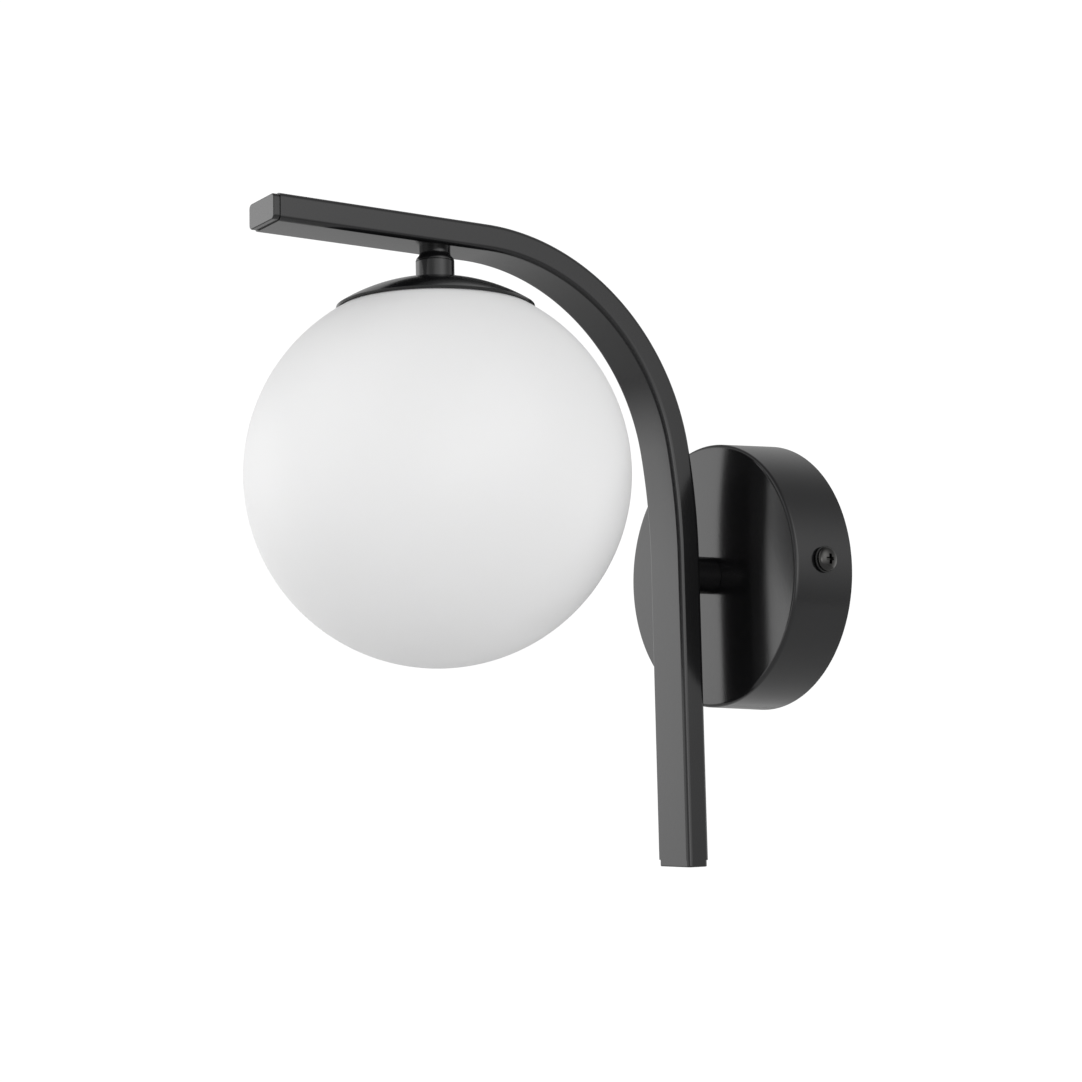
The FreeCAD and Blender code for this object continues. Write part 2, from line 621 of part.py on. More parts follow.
# Spacer and hollow rod that clamp the arm to the canopy
ring(
    "stub_bush", stub_thread / 2 + thread_gap, stub_radius, stub_length,
    (0, -canopy_depth, 0), FACING_OUT,
)
rod_front = canopy_depth + stub_entry
ring(
    "stub_nipple", stub_bore / 2, stub_thread / 2, rod_front - stub_rod_end,
    (0, -stub_rod_end, 0), FACING_OUT,
)
ring(
    "stub_washer", stub_thread / 2 + thread_gap, stub_washer_radius, washer_thick,
    (0, -(cup_front - washer_thick), 0), FACING_OUT,
)
hex_nut(
    "stub_nut", stub_nut_flats, stub_nut_height, stub_thread / 2 + thread_gap,
    (0, -(stub_nut_face - stub_nut_height), 0), FACING_OUT,
)
liner_outside = stub_bore / 2 - thread_gap
liner_bore = liner_outside - liner_wall
turned(
    "nipple_liner",
    [
        (liner_bore, 0), (stub_thread / 2, 0), (stub_thread / 2, liner_flange), (liner_outside, liner_flange),
        (liner_outside, liner_flange + liner_depth), (liner_bore, liner_flange + liner_depth),
    ],
    (0, -(stub_rod_end - liner_flange), 0), FACING_OUT,
)

# Bent flat tube: one section along a route of leg, gentle curve, bend and level arm
arm = new_body("arm_tube")
arm_route = new_sketch(arm, "YZ_Plane", "route")
rise_of_bend = (arm_middle - ease_start - bend_radius) / (ease_radius - bend_radius)
bend_cosine = rise_of_bend.number
bend_sine = math.sqrt(1 - bend_cosine**2)
bend_angle = math.acos(bend_cosine)
arm_level = arm_middle.number
leg_line = -leg_middle.number
ease_centre = Vector(leg_line - ease_radius.number, ease_start.number, 0)
ease_angle = math.pi / 2 - bend_angle
ease_end = ease_centre + Vector(math.cos(ease_angle), math.sin(ease_angle), 0) * ease_radius.number
bend_centre = ease_end - Vector(math.cos(ease_angle), math.sin(ease_angle), 0) * bend_radius.number
bend_end = bend_centre + Vector(0, bend_radius.number, 0)
flat_normal = Vector(0, 0, 1)
route_leg = arm_route.addGeometry(
    Part.LineSegment(Vector(leg_line, -foot_drop.number, 0), Vector(leg_line, ease_start.number, 0)), False
)
route_ease = arm_route.addGeometry(
    Part.ArcOfCircle(Part.Circle(ease_centre, flat_normal, ease_radius.number), 0, ease_angle), False
)
bend_circle = Part.Circle(bend_centre, flat_normal, bend_radius.number)
route_bend = arm_route.addGeometry(Part.ArcOfCircle(bend_circle, ease_angle, math.pi / 2), False)
route_arm = arm_route.addGeometry(Part.LineSegment(bend_end, Vector(-arm_reach.number, arm_level, 0)), False)
arm_route.addConstraint(Sketcher.Constraint("Tangent", route_leg, 2, route_ease, 1))
arm_route.addConstraint(Sketcher.Constraint("Tangent", route_ease, 2, route_bend, 1))
arm_route.addConstraint(Sketcher.Constraint("Tangent", route_bend, 2, route_arm, 1))
arm_route.addConstraint(Sketcher.Constraint("Vertical", route_leg))
arm_route.addConstraint(Sketcher.Constraint("Horizontal", route_arm))
hold_point(arm_route, route_leg, 1, -leg_middle, -foot_drop)
hold(arm_route, "DistanceY", (-1, 1, route_leg, 2), ease_start)
hold_point(arm_route, route_arm, 2, -arm_reach, arm_middle)
hold(arm_route, "Radius", (route_ease,), ease_radius)
hold(arm_route, "Radius", (route_bend,), bend_radius)
arm_section = new_sketch(arm, "XY_Plane", "section", -foot_drop)
add_rounded_box(arm_section, -leg_middle, tube_width, tube_depth, tube_corner)
arm_hollow = new_sketch(arm, "XY_Plane", "hollow", -foot_drop)
add_rounded_box(
    arm_hollow, -leg_middle, tube_width - tube_wall * 2, tube_depth - tube_wall * 2, tube_corner - tube_wall
)
arm_solid = arm.newObject("PartDesign::AdditivePipe", "arm_tube_Solid")
arm_solid.Profile = arm_section
arm_solid.Spine = arm_route
doc.recompute()
arm_bore = arm.newObject("PartDesign::SubtractivePipe", "arm_tube_Bore")
arm_bore.Profile = arm_hollow
arm_bore.Spine = arm_route
arm_stub_hole = new_sketch(arm, "XZ_Plane", "stub_hole", leg_back)
add_circle(arm_stub_hole, 0, 0, stub_bore / 2)
pocket(arm, arm_stub_hole, tube_wall * 1.5, "StubHole", along_normal=True)
arm_neck_hole = new_sketch(arm, "XY_Plane", "neck_hole", arm_underside)
add_circle(arm_neck_hole, 0, -globe_reach, neck_thread / 2 + thread_gap)
pocket(arm, arm_neck_hole, tube_wall * 1.5, "NeckHole", along_normal=True)

# Plugs: a set-in cap with rounded edges on a hollow insert that two ribs hold in the tube
tube_inner_width = tube_width - tube_wall * 2
tube_inner_depth = tube_depth - tube_wall * 2
for label, at, facing in (
    ("arm_end_plug", (0, -arm_reach, arm_middle), FACING_OUT),
    ("foot_plug", (0, -leg_middle, -foot_drop), FACING_DOWN),
):
    plug = new_body(label, at, facing)
    plug_cap = new_sketch(plug, "XY_Plane", "cap")
    add_rounded_box(
        plug_cap, 0, tube_width - plug_inset * 2, tube_depth - plug_inset * 2, tube_corner - plug_inset / 2
    )
    pad(plug, plug_cap, plug_thick, "Cap")
    round_edges(plug, plug_edge, lambda edge: edge.CenterOfMass.z > plug_thick.number - 1e-4, "Edge")
    plug_stem = new_sketch(plug, "XY_Plane", "stem", -plug_insert)
    stem_gap = plug_rib + fit_gap
    add_box(
        plug_stem,
        stem_gap - tube_inner_width / 2, stem_gap - tube_inner_depth / 2,
        tube_inner_width / 2 - stem_gap, tube_inner_depth / 2 - stem_gap,
    )
    pad(plug, plug_stem, plug_insert + plug_edge, "Stem")
    for number, level in enumerate((plug_rib * 2, plug_rib * 6), 1):
        plug_rib_sketch = new_sketch(plug, "XY_Plane", f"rib_{number}", -level)
        add_rounded_box(
            plug_rib_sketch, 0,
            tube_inner_width - fit_gap * 2, tube_inner_depth - fit_gap * 2, tube_corner - tube_wall,
        )
        pad(plug, plug_rib_sketch, plug_rib, f"Rib{number}")
    plug_hollow = new_sketch(plug, "XY_Plane", "hollow", -plug_insert)
    hollow_gap = stem_gap + plug_wall
    add_box(
        plug_hollow,
        hollow_gap - tube_inner_width / 2, hollow_gap - tube_inner_depth / 2,
        tube_inner_width / 2 - hollow_gap, tube_inner_depth / 2 - hollow_gap,
    )
    pocket(plug, plug_hollow, plug_insert - plug_rib, "Hollow", along_normal=True)

# Neck: a flared boss welded under the arm, a collar, and the hollow rod through both
boss = new_body("neck_boss", (0, -globe_reach, boss_bottom))
boss_outline = new_sketch(boss, "XZ_Plane", "outline")
boss_bore = neck_thread / 2 + thread_gap
boss_height = boss_straight + boss_flare
flare_step = collar_radius - boss_radius
flare_radius = (boss_flare * boss_flare + flare_step * flare_step) / (flare_step * 4)
flare_angle = 2 * math.atan2(flare_step.number, boss_flare.number)
low_centre = Vector((collar_radius - flare_radius).number, 0, 0)
high_centre = Vector((boss_radius + flare_radius).number, boss_flare.number, 0)
level_normal = Vector(0, 0, 1)
low_circle = Part.Circle(low_centre, level_normal, flare_radius.number)
high_circle = Part.Circle(high_centre, level_normal, flare_radius.number)
low_arc = boss_outline.addGeometry(Part.ArcOfCircle(low_circle, 0, flare_angle), False)
high_arc = boss_outline.addGeometry(Part.ArcOfCircle(high_circle, math.pi, math.pi + flare_angle), False)
boss_corners = [
    Vector(boss_radius.number, boss_flare.number, 0), Vector(boss_radius.number, boss_height.number, 0),
    Vector(boss_bore.number, boss_height.number, 0), Vector(boss_bore.number, 0, 0),
    Vector(collar_radius.number, 0, 0),
]
boss_side, boss_top, boss_hole, boss_foot = (
    boss_outline.addGeometry(Part.LineSegment(start, end), False)
    for start, end in zip(boss_corners, boss_corners[1:])
)
boss_outline.addConstraint(Sketcher.Constraint("Tangent", low_arc, 2, high_arc, 2))
boss_outline.addConstraint(Sketcher.Constraint("Tangent", high_arc, 1, boss_side, 1))
for one, other in ((boss_side, boss_top), (boss_top, boss_hole), (boss_hole, boss_foot)):
    boss_outline.addConstraint(Sketcher.Constraint("Coincident", one, 2, other, 1))
boss_outline.addConstraint(Sketcher.Constraint("Coincident", boss_foot, 2, low_arc, 1))
boss_outline.addConstraint(Sketcher.Constraint("Vertical", boss_side))
boss_outline.addConstraint(Sketcher.Constraint("Vertical", boss_hole))
boss_outline.addConstraint(Sketcher.Constraint("Horizontal", boss_top))
boss_outline.addConstraint(Sketcher.Constraint("Horizontal", boss_foot))
boss_outline.addConstraint(Sketcher.Constraint("PointOnObject", low_arc, 3, -1))
hold_point(boss_outline, boss_hole, 2, boss_bore, 0)
hold_point(boss_outline, boss_side, 1, boss_radius, boss_flare)
hold(boss_outline, "DistanceY", (-1, 1, boss_side, 2), boss_height)
hold(boss_outline, "DistanceX", (-1, 1, low_arc, 1), collar_radius)
hold(boss_outline, "Radius", (low_arc,), flare_radius)
revolve(boss, boss_outline)
ring("neck_collar", neck_thread / 2 + hole_gap, collar_radius, collar_height, (0, -globe_reach, seat_height))
neck_rod_bottom = neck_nut_under - neck_overhang
neck_rod_top = arm_underside + tube_wall + neck_overhang
ring(
    "neck_nipple", neck_bore / 2, neck_thread / 2, neck_rod_top - neck_rod_bottom,
    (0, -globe_reach, neck_rod_bottom),
)

# Dish: a spun spherical cap with a flat seat and a plain cut rim
dish = new_body("dish", (0, -globe_reach, dish_centre))
dish_outline = new_sketch(dish, "XZ_Plane", "outline")
seat_level = seat_height - dish_centre
under_level = seat_level - dish_thick
dish_hole = neck_thread / 2 + hole_gap
under_radius = root(dish_inside * dish_inside - under_level * under_level)
rim_inside = dish_rim * dish_inside / dish_sphere
outer_arc = add_arc(dish_outline, 0, dish_sphere, dish_rim, dish_seat)
inner_arc = add_arc(dish_outline, 0, dish_inside, rim_inside, under_radius)


def dish_point(sphere, radius):
    """Point of the dish's outline on a sphere, at a radius from the axis."""
    return Vector(radius.number, math.sqrt(sphere.number**2 - radius.number**2), 0)


dish_lines = [
    (dish_point(dish_sphere, dish_seat), Vector(dish_hole.number, seat_level.number, 0)),
    (Vector(dish_hole.number, seat_level.number, 0), Vector(dish_hole.number, under_level.number, 0)),
    (Vector(dish_hole.number, under_level.number, 0), dish_point(dish_inside, under_radius)),
    (dish_point(dish_inside, rim_inside), dish_point(dish_sphere, dish_rim)),
]
seat_line, hole_line, under_line, rim_line = (
    dish_outline.addGeometry(Part.LineSegment(start, end), False) for start, end in dish_lines
)
for one, one_end, other, other_end in (
    (outer_arc, 2, seat_line, 1), (seat_line, 2, hole_line, 1), (hole_line, 2, under_line, 1),
    (under_line, 2, inner_arc, 2), (inner_arc, 1, rim_line, 1), (rim_line, 2, outer_arc, 1),
):
    dish_outline.addConstraint(Sketcher.Constraint("Coincident", one, one_end, other, other_end))
hold(dish_outline, "DistanceX", (-1, 1, hole_line, 1), dish_hole)
dish_outline.addConstraint(Sketcher.Constraint("Horizontal", seat_line))
dish_outline.addConstraint(Sketcher.Constraint("Horizontal", under_line))
dish_outline.addConstraint(Sketcher.Constraint("Vertical", hole_line))
revolve(dish, dish_outline)

# Threaded ring under the dish, its washer and nut
skirt_outside = mouth_radius - thread_gap
skirt_inside = skirt_outside - carrier_wall
ring_height = carrier_rise + carrier_floor + carrier_skirt
turned(
    "globe_carrier",
    [
        (dish_hole, carrier_skirt), (skirt_inside, carrier_skirt), (skirt_inside, 0), (skirt_outside, 0),
        (skirt_outside, carrier_skirt + carrier_floor), (carrier_hub, carrier_skirt + carrier_floor),
        (carrier_hub, ring_height), (dish_hole, ring_height),
    ],
    (0, -globe_reach, carrier_top - ring_height),
)
neck_thread_bore = neck_thread / 2 + thread_gap
ring("neck_washer", neck_thread_bore, neck_washer_radius, washer_thick, (0, -globe_reach, neck_nut_top))
hex_nut("neck_nut", neck_nut_flats, neck_nut_height, neck_thread_bore, (0, -globe_reach, neck_nut_under))

# Stirrup: a bent strip clamped by the nut, with a leg down each side of the lampholder
stirrup = new_body("holder_bracket", (0, -globe_reach, carrier_under))
stirrup_section = new_sketch(stirrup, "XZ_Plane", "section")
leg_inside = holder_width / 2 + thread_gap
leg_outside = leg_inside + stirrup_thick
add_outline(
    stirrup_section,
    [
        (-leg_outside, 0), (-leg_outside, -stirrup_drop), (-leg_inside, -stirrup_drop),
        (-leg_inside, -stirrup_thick), (leg_inside, -stirrup_thick), (leg_inside, -stirrup_drop),
        (leg_outside, -stirrup_drop), (leg_outside, 0),
    ],
)
pad(stirrup, stirrup_section, stirrup_width, both_ways=True)
stirrup_outer_bend = stirrup_bend + stirrup_thick
stirrup_under_face = -stirrup_thick.number
round_edges(stirrup, stirrup_bend, lambda edge: is_bend(edge, leg_inside, stirrup_under_face), "BendInside")
round_edges(stirrup, stirrup_outer_bend, lambda edge: is_bend(edge, leg_outside, 0.0), "BendOutside")
stirrup_hole = new_sketch(stirrup, "XY_Plane", "hole")
add_circle(stirrup_hole, 0, 0, neck_thread / 2 + hole_gap)
pocket(stirrup, stirrup_hole, stirrup_thick * 2, "Hole")
stirrup_screw_level = holder_top + holder_screw_drop
stirrup_screw_holes = new_sketch(stirrup, "YZ_Plane", "screw_holes")
add_circle(stirrup_screw_holes, 0, -stirrup_screw_level, holder_screw_size / 2 + hole_gap)
pocket(stirrup, stirrup_screw_holes, leg_outside * 2 + stirrup_thick, "ScrewHoles", both_ways=True)

# Lampholder: a ceramic block with a slot for the lamp's tongue, two contact chambers and two wire holes
holder = new_body("lampholder_body", (0, -globe_reach, holder_under))
holder_section = new_sketch(holder, "XY_Plane", "section")
add_rounded_box(holder_section, 0, holder_width, holder_depth, holder_corner)
pad(holder, holder_section, holder_height)
holder_slot = new_sketch(holder, "XY_Plane", "slot")
add_box(holder_slot, -(lamp_slot_width / 2), -(lamp_slot_depth / 2), lamp_slot_width / 2, lamp_slot_depth / 2)
pocket(holder, holder_slot, lamp_slot_height, "Slot", along_normal=True)
holder_chambers = new_sketch(holder, "XY_Plane", "chambers")
chamber_half_width = contact_width / 2 + fit_gap
chamber_half_depth = contact_depth / 2 + fit_gap
for sign in (1, -1):
    middle = pin_offset * sign
    add_box(
        holder_chambers,
        middle - chamber_half_width, -chamber_half_depth, middle + chamber_half_width, chamber_half_depth,
    )
pocket(holder, holder_chambers, lamp_slot_height + contact_height, "Chambers", along_normal=True)
holder_wire_holes = new_sketch(holder, "XY_Plane", "wire_holes", holder_height)
for sign in (1, -1):
    add_circle(holder_wire_holes, pin_offset * sign, 0, wire_radius + fit_gap)
pocket(holder, holder_wire_holes, holder_height - lamp_slot_height, "WireHoles")
holder_screw_holes = new_sketch(holder, "YZ_Plane", "screw_holes", holder_width / 2)
add_circle(holder_screw_holes, 0, holder_height - holder_screw_drop, holder_screw_size / 2 + thread_gap)
pocket(holder, holder_screw_holes, holder_screw_reach, "ScrewHoleRight")
holder_screw_holes_left = new_sketch(holder, "YZ_Plane", "screw_holes_left", -(holder_width / 2))
add_circle(holder_screw_holes_left, 0, holder_height - holder_screw_drop, holder_screw_size / 2 + thread_gap)
pocket(holder, holder_screw_holes_left, holder_screw_reach, "ScrewHoleLeft", along_normal=True)


def primitive(kind, name, at, turn=UPRIGHT, **lengths):
    """Box or cylinder with its lengths and place tied to the sheet."""
    piece = doc.addObject(f"Part::{kind}", name)
    for property_name, length in lengths.items():
        setattr(piece, property_name, as_size(length).number)
        bind(piece, property_name, length)
    place(piece, at, turn)
    return piece


def centred_box(name, middle, low_z, width, depth, height):
    """Upright box over a middle point."""
    x, y = middle
    at = (as_size(x) - as_size(width) / 2, as_size(y) - as_size(depth) / 2, low_z)
    return primitive("Box", name, at, Length=width, Width=depth, Height=height)


def combine(kind, name, base, tool):
    """Boolean of two objects of the document."""
    result = doc.addObject(f"Part::{kind}", name)
    result.Base = base
    result.Tool = tool
    return result


def group(label, pieces):
    """Several like pieces in one node, each its own solid."""
    compound = doc.addObject("Part::Compound", label)
    compound.Label = label
    compound.Links = pieces
    nodes[label] = compound
    return compound


# Side screws of the lampholder
holder_screws = []
for sign, facing in ((1, FACING_RIGHT), (-1, FACING_LEFT)):
    screw_level = holder_level - holder_screw_drop
    shank_start = (holder_width / 2 - holder_screw_reach) * sign
    head_start = leg_outside * sign
    shank = primitive(
        "Cylinder", f"holder_shank_{sign + 1}", (shank_start, -globe_reach, screw_level), facing,
        Radius=holder_screw_size / 2, Height=leg_outside - holder_width / 2 + holder_screw_reach,
    )
    head = primitive(
        "Cylinder", f"holder_head_{sign + 1}", (head_start, -globe_reach, screw_level), facing,
        Radius=holder_head_radius, Height=holder_head_thick,
    )
    holder_screws.append(combine("Fuse", f"holder_screw_{sign + 1}", head, shank))
group("holder_screws", holder_screws)

# Contacts: folded springs, each a top and two leaves that the pin's loop goes between
contacts = []
for sign in (1, -1):
    middle = (pin_offset * sign, -globe_reach)
    blank = centred_box(
        f"contact_blank_{sign + 1}", middle, slot_roof, contact_width, contact_depth, contact_height
    )
    gap = centred_box(
        f"contact_gap_{sign + 1}", middle, slot_roof - contact_sheet,
        contact_width + contact_sheet, contact_depth - contact_sheet * 2, contact_height,
    )
    contacts.append(combine("Cut", f"contact_{sign + 1}", blank, gap))
group("lampholder_contacts", contacts)

# Lamp: a tongue and round base, two pin loops and a domed cover
lamp_base = new_body("bulb_base", (0, -globe_reach, holder_under))
lamp_disc = new_sketch(lamp_base, "XY_Plane", "disc", -(moving_gap + lamp_base_height))
add_circle(lamp_disc, 0, 0, lamp_radius)
pad(lamp_base, lamp_disc, lamp_base_height, "Disc")
lamp_tongue = new_sketch(lamp_base, "XY_Plane", "tongue", -(moving_gap + lamp_base_height / 2))
tongue_half_width = lamp_slot_width / 2 - moving_gap
tongue_half_depth = lamp_slot_depth / 2 - moving_gap
add_box(lamp_tongue, -tongue_half_width, -tongue_half_depth, tongue_half_width, tongue_half_depth)
pad(lamp_base, lamp_tongue, lamp_base_height / 2 + moving_gap + tongue_height, "Tongue")

cover_top = holder_under - moving_gap - lamp_base_height
cover = new_body("bulb_cover", (0, -globe_reach, cover_top - lamp_cover_height))
cover_outline = new_sketch(cover, "XZ_Plane", "outline")
cover_bore = lamp_radius - lamp_cover_wall


def add_capsule(sketch, radius, bottom, height):
    """Half outline of a round-bottomed cylinder: axis, top, side and quarter circle."""
    r, low, top = radius.number, bottom.number, height.number
    middle = low + r
    circle = Part.Circle(Vector(0, middle, 0), Vector(0, 0, 1), r)
    arc = sketch.addGeometry(Part.ArcOfCircle(circle, -math.pi / 2, 0), False)
    side = sketch.addGeometry(Part.LineSegment(Vector(r, middle, 0), Vector(r, top, 0)), False)
    sketch.addConstraint(Sketcher.Constraint("Tangent", arc, 2, side, 1))
    sketch.addConstraint(Sketcher.Constraint("Vertical", side))
    hold_point(sketch, arc, 3, 0, bottom + radius)
    sketch.addConstraint(Sketcher.Constraint("PointOnObject", arc, 1, -2))
    hold(sketch, "Radius", (arc,), radius)
    hold(sketch, "DistanceY", (-1, 1, side, 2), height)
    return arc, side


outer_dome, outer_side = add_capsule(cover_outline, lamp_radius, as_size(0), lamp_cover_height)
inner_dome, inner_side = add_capsule(cover_outline, cover_bore, lamp_cover_wall, lamp_cover_height)
lip_start = Vector(lamp_radius.number, lamp_cover_height.number, 0)
lip_end = Vector(cover_bore.number, lamp_cover_height.number, 0)
tip_start = Vector(0, lamp_cover_wall.number, 0)
cover_lip = cover_outline.addGeometry(Part.LineSegment(lip_start, lip_end), False)
cover_tip = cover_outline.addGeometry(Part.LineSegment(tip_start, Vector(0, 0, 0)), False)
cover_outline.addConstraint(Sketcher.Constraint("Coincident", outer_side, 2, cover_lip, 1))
cover_outline.addConstraint(Sketcher.Constraint("Coincident", cover_lip, 2, inner_side, 2))
cover_outline.addConstraint(Sketcher.Constraint("Coincident", inner_dome, 1, cover_tip, 1))
cover_outline.addConstraint(Sketcher.Constraint("Coincident", cover_tip, 2, outer_dome, 1))
revolve(cover, cover_outline)


JOIN = 1e-4


def tube_along(points, radii, radius):
    """Round tube along straight runs joined by tangent arcs, one bend radius per inner point."""
    edges = []
    start = points[0]
    for before, corner, after, bend in zip(points, points[1:], points[2:], radii):
        arriving = (corner - before).normalize()
        leaving = (after - corner).normalize()
        turn = arriving.getAngle(leaving)
        setback = bend * math.tan(turn / 2)
        arc_start = corner - arriving * setback
        arc_end = corner + leaving * setback
        bisector = (leaving - arriving).normalize()
        middle = corner + bisector * (bend / math.cos(turn / 2) - bend)
        if start.distanceToPoint(arc_start) > JOIN:
            edges.append(Part.LineSegment(start, arc_start).toShape())
        edges.append(Part.Arc(arc_start, middle, arc_end).toShape())
        start = arc_end
    edges.append(Part.LineSegment(start, points[-1]).toShape())
    route = Part.Wire(edges)
    section = Part.Wire(Part.Circle(points[0], points[1] - points[0], radius).toShape())
    solid = route.makePipeShell([section], True, False)
    wanted = math.pi * radius**2 * route.Length
    if abs(solid.Volume - wanted) > 0.02 * wanted:
        raise RuntimeError("a wire's volume is not its section times its length")
    return solid, route.Length


def add_wire(label, points, radii, radius):
    """Node of one wire or loop, with its length printed."""
    shape, length = tube_along([Vector(*point) for point in points], radii, radius)
    print(f"{label}: {length:.1f} mm long, bend radii {[round(bend, 2) for bend in radii]} mm")
    feature = doc.addObject("Part::Feature", label)
    feature.Label = label
    feature.Shape = shape
    return feature


# Pin loops of the lamp
pin_low = (holder_under + tongue_height).number
pin_top = pin_low + pin_height.number - pin_wire.number / 2
loop_radius = (pin_loop.number - pin_wire.number) / 2
pin_bend = loop_radius * 0.9
pins = []
for sign in (1, -1):
    near = sign * pin_offset.number - loop_radius
    far = sign * pin_offset.number + loop_radius
    y = -globe_reach.number
    points = [(near, y, pin_low), (near, y, pin_top), (far, y, pin_top), (far, y, pin_low)]
    pins.append(add_wire(f"bulb_pin_{sign + 1}", points, [pin_bend, pin_bend], pin_wire.number / 2))
group("bulb_pins", pins)

# Globe: blown opal glass with a ground rim and a threaded mouth that goes down inside it
globe = new_body("globe_glass", (0, -globe_reach, globe_centre))
globe_outline = new_sketch(globe, "XZ_Plane", "outline")
glass_inside = globe_radius - glass_wall
mouth_outer = mouth_radius + mouth_wall
mouth_bottom = mouth_height - mouth_depth
shell_join = root(glass_inside * glass_inside - mouth_outer * mouth_outer)


def half_ball(sketch, radius, end_x, end_y):
    """Arc from the bottom of a ball up to a point near its top. Returns its edge."""
    turn = math.atan2(end_y.number, end_x.number)
    circle = Part.Circle(Vector(0, 0, 0), Vector(0, 0, 1), radius.number)
    arc = sketch.addGeometry(Part.ArcOfCircle(circle, -math.pi / 2, turn), False)
    sketch.addConstraint(Sketcher.Constraint("Coincident", arc, 3, -1, 1))
    sketch.addConstraint(Sketcher.Constraint("PointOnObject", arc, 1, -2))
    hold(sketch, "Radius", (arc,), radius)
    return arc


outer_ball = half_ball(globe_outline, globe_radius, rim_outer, mouth_height)
inner_ball = half_ball(globe_outline, glass_inside, mouth_outer, shell_join)
hold(globe_outline, "DistanceY", (-1, 1, outer_ball, 2), mouth_height)
hold(globe_outline, "DistanceX", (-1, 1, inner_ball, 2), mouth_outer)
glass_points = [
    Vector(rim_outer.number, mouth_height.number, 0), Vector(mouth_radius.number, mouth_height.number, 0),
    Vector(mouth_radius.number, mouth_bottom.number, 0), Vector(mouth_outer.number, mouth_bottom.number, 0),
    Vector(mouth_outer.number, shell_join.number, 0),
]
glass_edges = [
    globe_outline.addGeometry(Part.LineSegment(start, end), False)
    for start, end in zip(glass_points, glass_points[1:])
]
ball_foot = globe_outline.addGeometry(
    Part.LineSegment(Vector(0, -glass_inside.number, 0), Vector(0, -globe_radius.number, 0)), False
)
rim_edge, bore_edge, lip_edge, neck_edge = glass_edges
for one, one_end, other, other_end in (
    (outer_ball, 2, rim_edge, 1), (rim_edge, 2, bore_edge, 1), (bore_edge, 2, lip_edge, 1),
    (lip_edge, 2, neck_edge, 1), (neck_edge, 2, inner_ball, 2), (inner_ball, 1, ball_foot, 1),
    (ball_foot, 2, outer_ball, 1),
):
    globe_outline.addConstraint(Sketcher.Constraint("Coincident", one, one_end, other, other_end))
globe_outline.addConstraint(Sketcher.Constraint("Horizontal", rim_edge))
globe_outline.addConstraint(Sketcher.Constraint("Vertical", bore_edge))
globe_outline.addConstraint(Sketcher.Constraint("Horizontal", lip_edge))
globe_outline.addConstraint(Sketcher.Constraint("Vertical", neck_edge))
hold(globe_outline, "DistanceX", (-1, 1, bore_edge, 1), mouth_radius)
hold(globe_outline, "DistanceY", (-1, 1, bore_edge, 2), mouth_bottom)
revolve(globe, globe_outline)
ring("globe_gasket", gasket_bore, gasket_outer, gasket_thick, (0, -globe_reach, gasket_bottom))

# Connector: a two-pole block on the strap, with a brass tube and two screws in each pole
block = new_body("terminal_block", (-block_place, -strap_thickness, 0), FACING_OUT)
block_section = new_sketch(block, "XY_Plane", "section")
add_box(block_section, -(block_length / 2), -(block_depth / 2), block_length / 2, block_depth / 2)
pad(block, block_section, block_height)
pole_level = block_height / 2
block_bores = new_sketch(block, "XZ_Plane", "bores")
for sign in (1, -1):
    add_circle(block_bores, pole_spacing / 2 * sign, pole_level, pole_radius + thread_gap)
pocket(block, block_bores, block_depth + tube_wall, "Bores", both_ways=True)
block_wells = new_sketch(block, "XY_Plane", "wells", block_height)
well_radius = pole_screw_radius + fit_gap
for sign in (1, -1):
    for end in (1, -1):
        add_circle(block_wells, pole_spacing / 2 * sign, pole_screw_spacing / 2 * end, well_radius)
pocket(block, block_wells, block_height - pole_level, "Wells")
block_waist = new_sketch(block, "XY_Plane", "waist", block_height)
waist_half = fit_gap * 6
add_box(block_waist, -waist_half, -(block_depth / 2), waist_half, block_depth / 2)
pocket(block, block_waist, block_height / 4, "Waist")

pole_tubes = []
pole_screws = []
pole_end = block_depth / 2 - tube_wall
for number, sign in enumerate((1, -1)):
    across = pole_spacing / 2 * sign - block_place
    level = -(strap_thickness + pole_level)
    outer = primitive(
        "Cylinder", f"pole_outer_{number}", (across, level, -pole_end),
        Radius=pole_radius, Height=pole_end * 2,
    )
    bore = primitive(
        "Cylinder", f"pole_bore_{number}", (across, level, -block_depth / 2),
        Radius=pole_bore, Height=block_depth,
    )
    hollow = combine("Cut", f"pole_hollow_{number}", outer, bore)
    for place_number, end in enumerate((1, -1)):
        along = pole_screw_spacing / 2 * end
        drill = primitive(
            "Cylinder", f"pole_drill_{number}_{place_number}", (across, level, along), FACING_OUT,
            Radius=pole_screw_radius + thread_gap, Height=block_height,
        )
        hollow = combine("Cut", f"pole_tapped_{number}_{place_number}", hollow, drill)
        screw_start = -(strap_thickness + pole_level + pole_bore / 2)
        pole_screws.append(
            primitive(
                "Cylinder", f"pole_screw_{number}_{place_number}", (across, screw_start, along), FACING_OUT,
                Radius=pole_screw_radius, Height=pole_screw_length,
            )
        )
    pole_tubes.append(hollow)
group("terminal_tubes", pole_tubes)
group("terminal_screws", pole_screws)

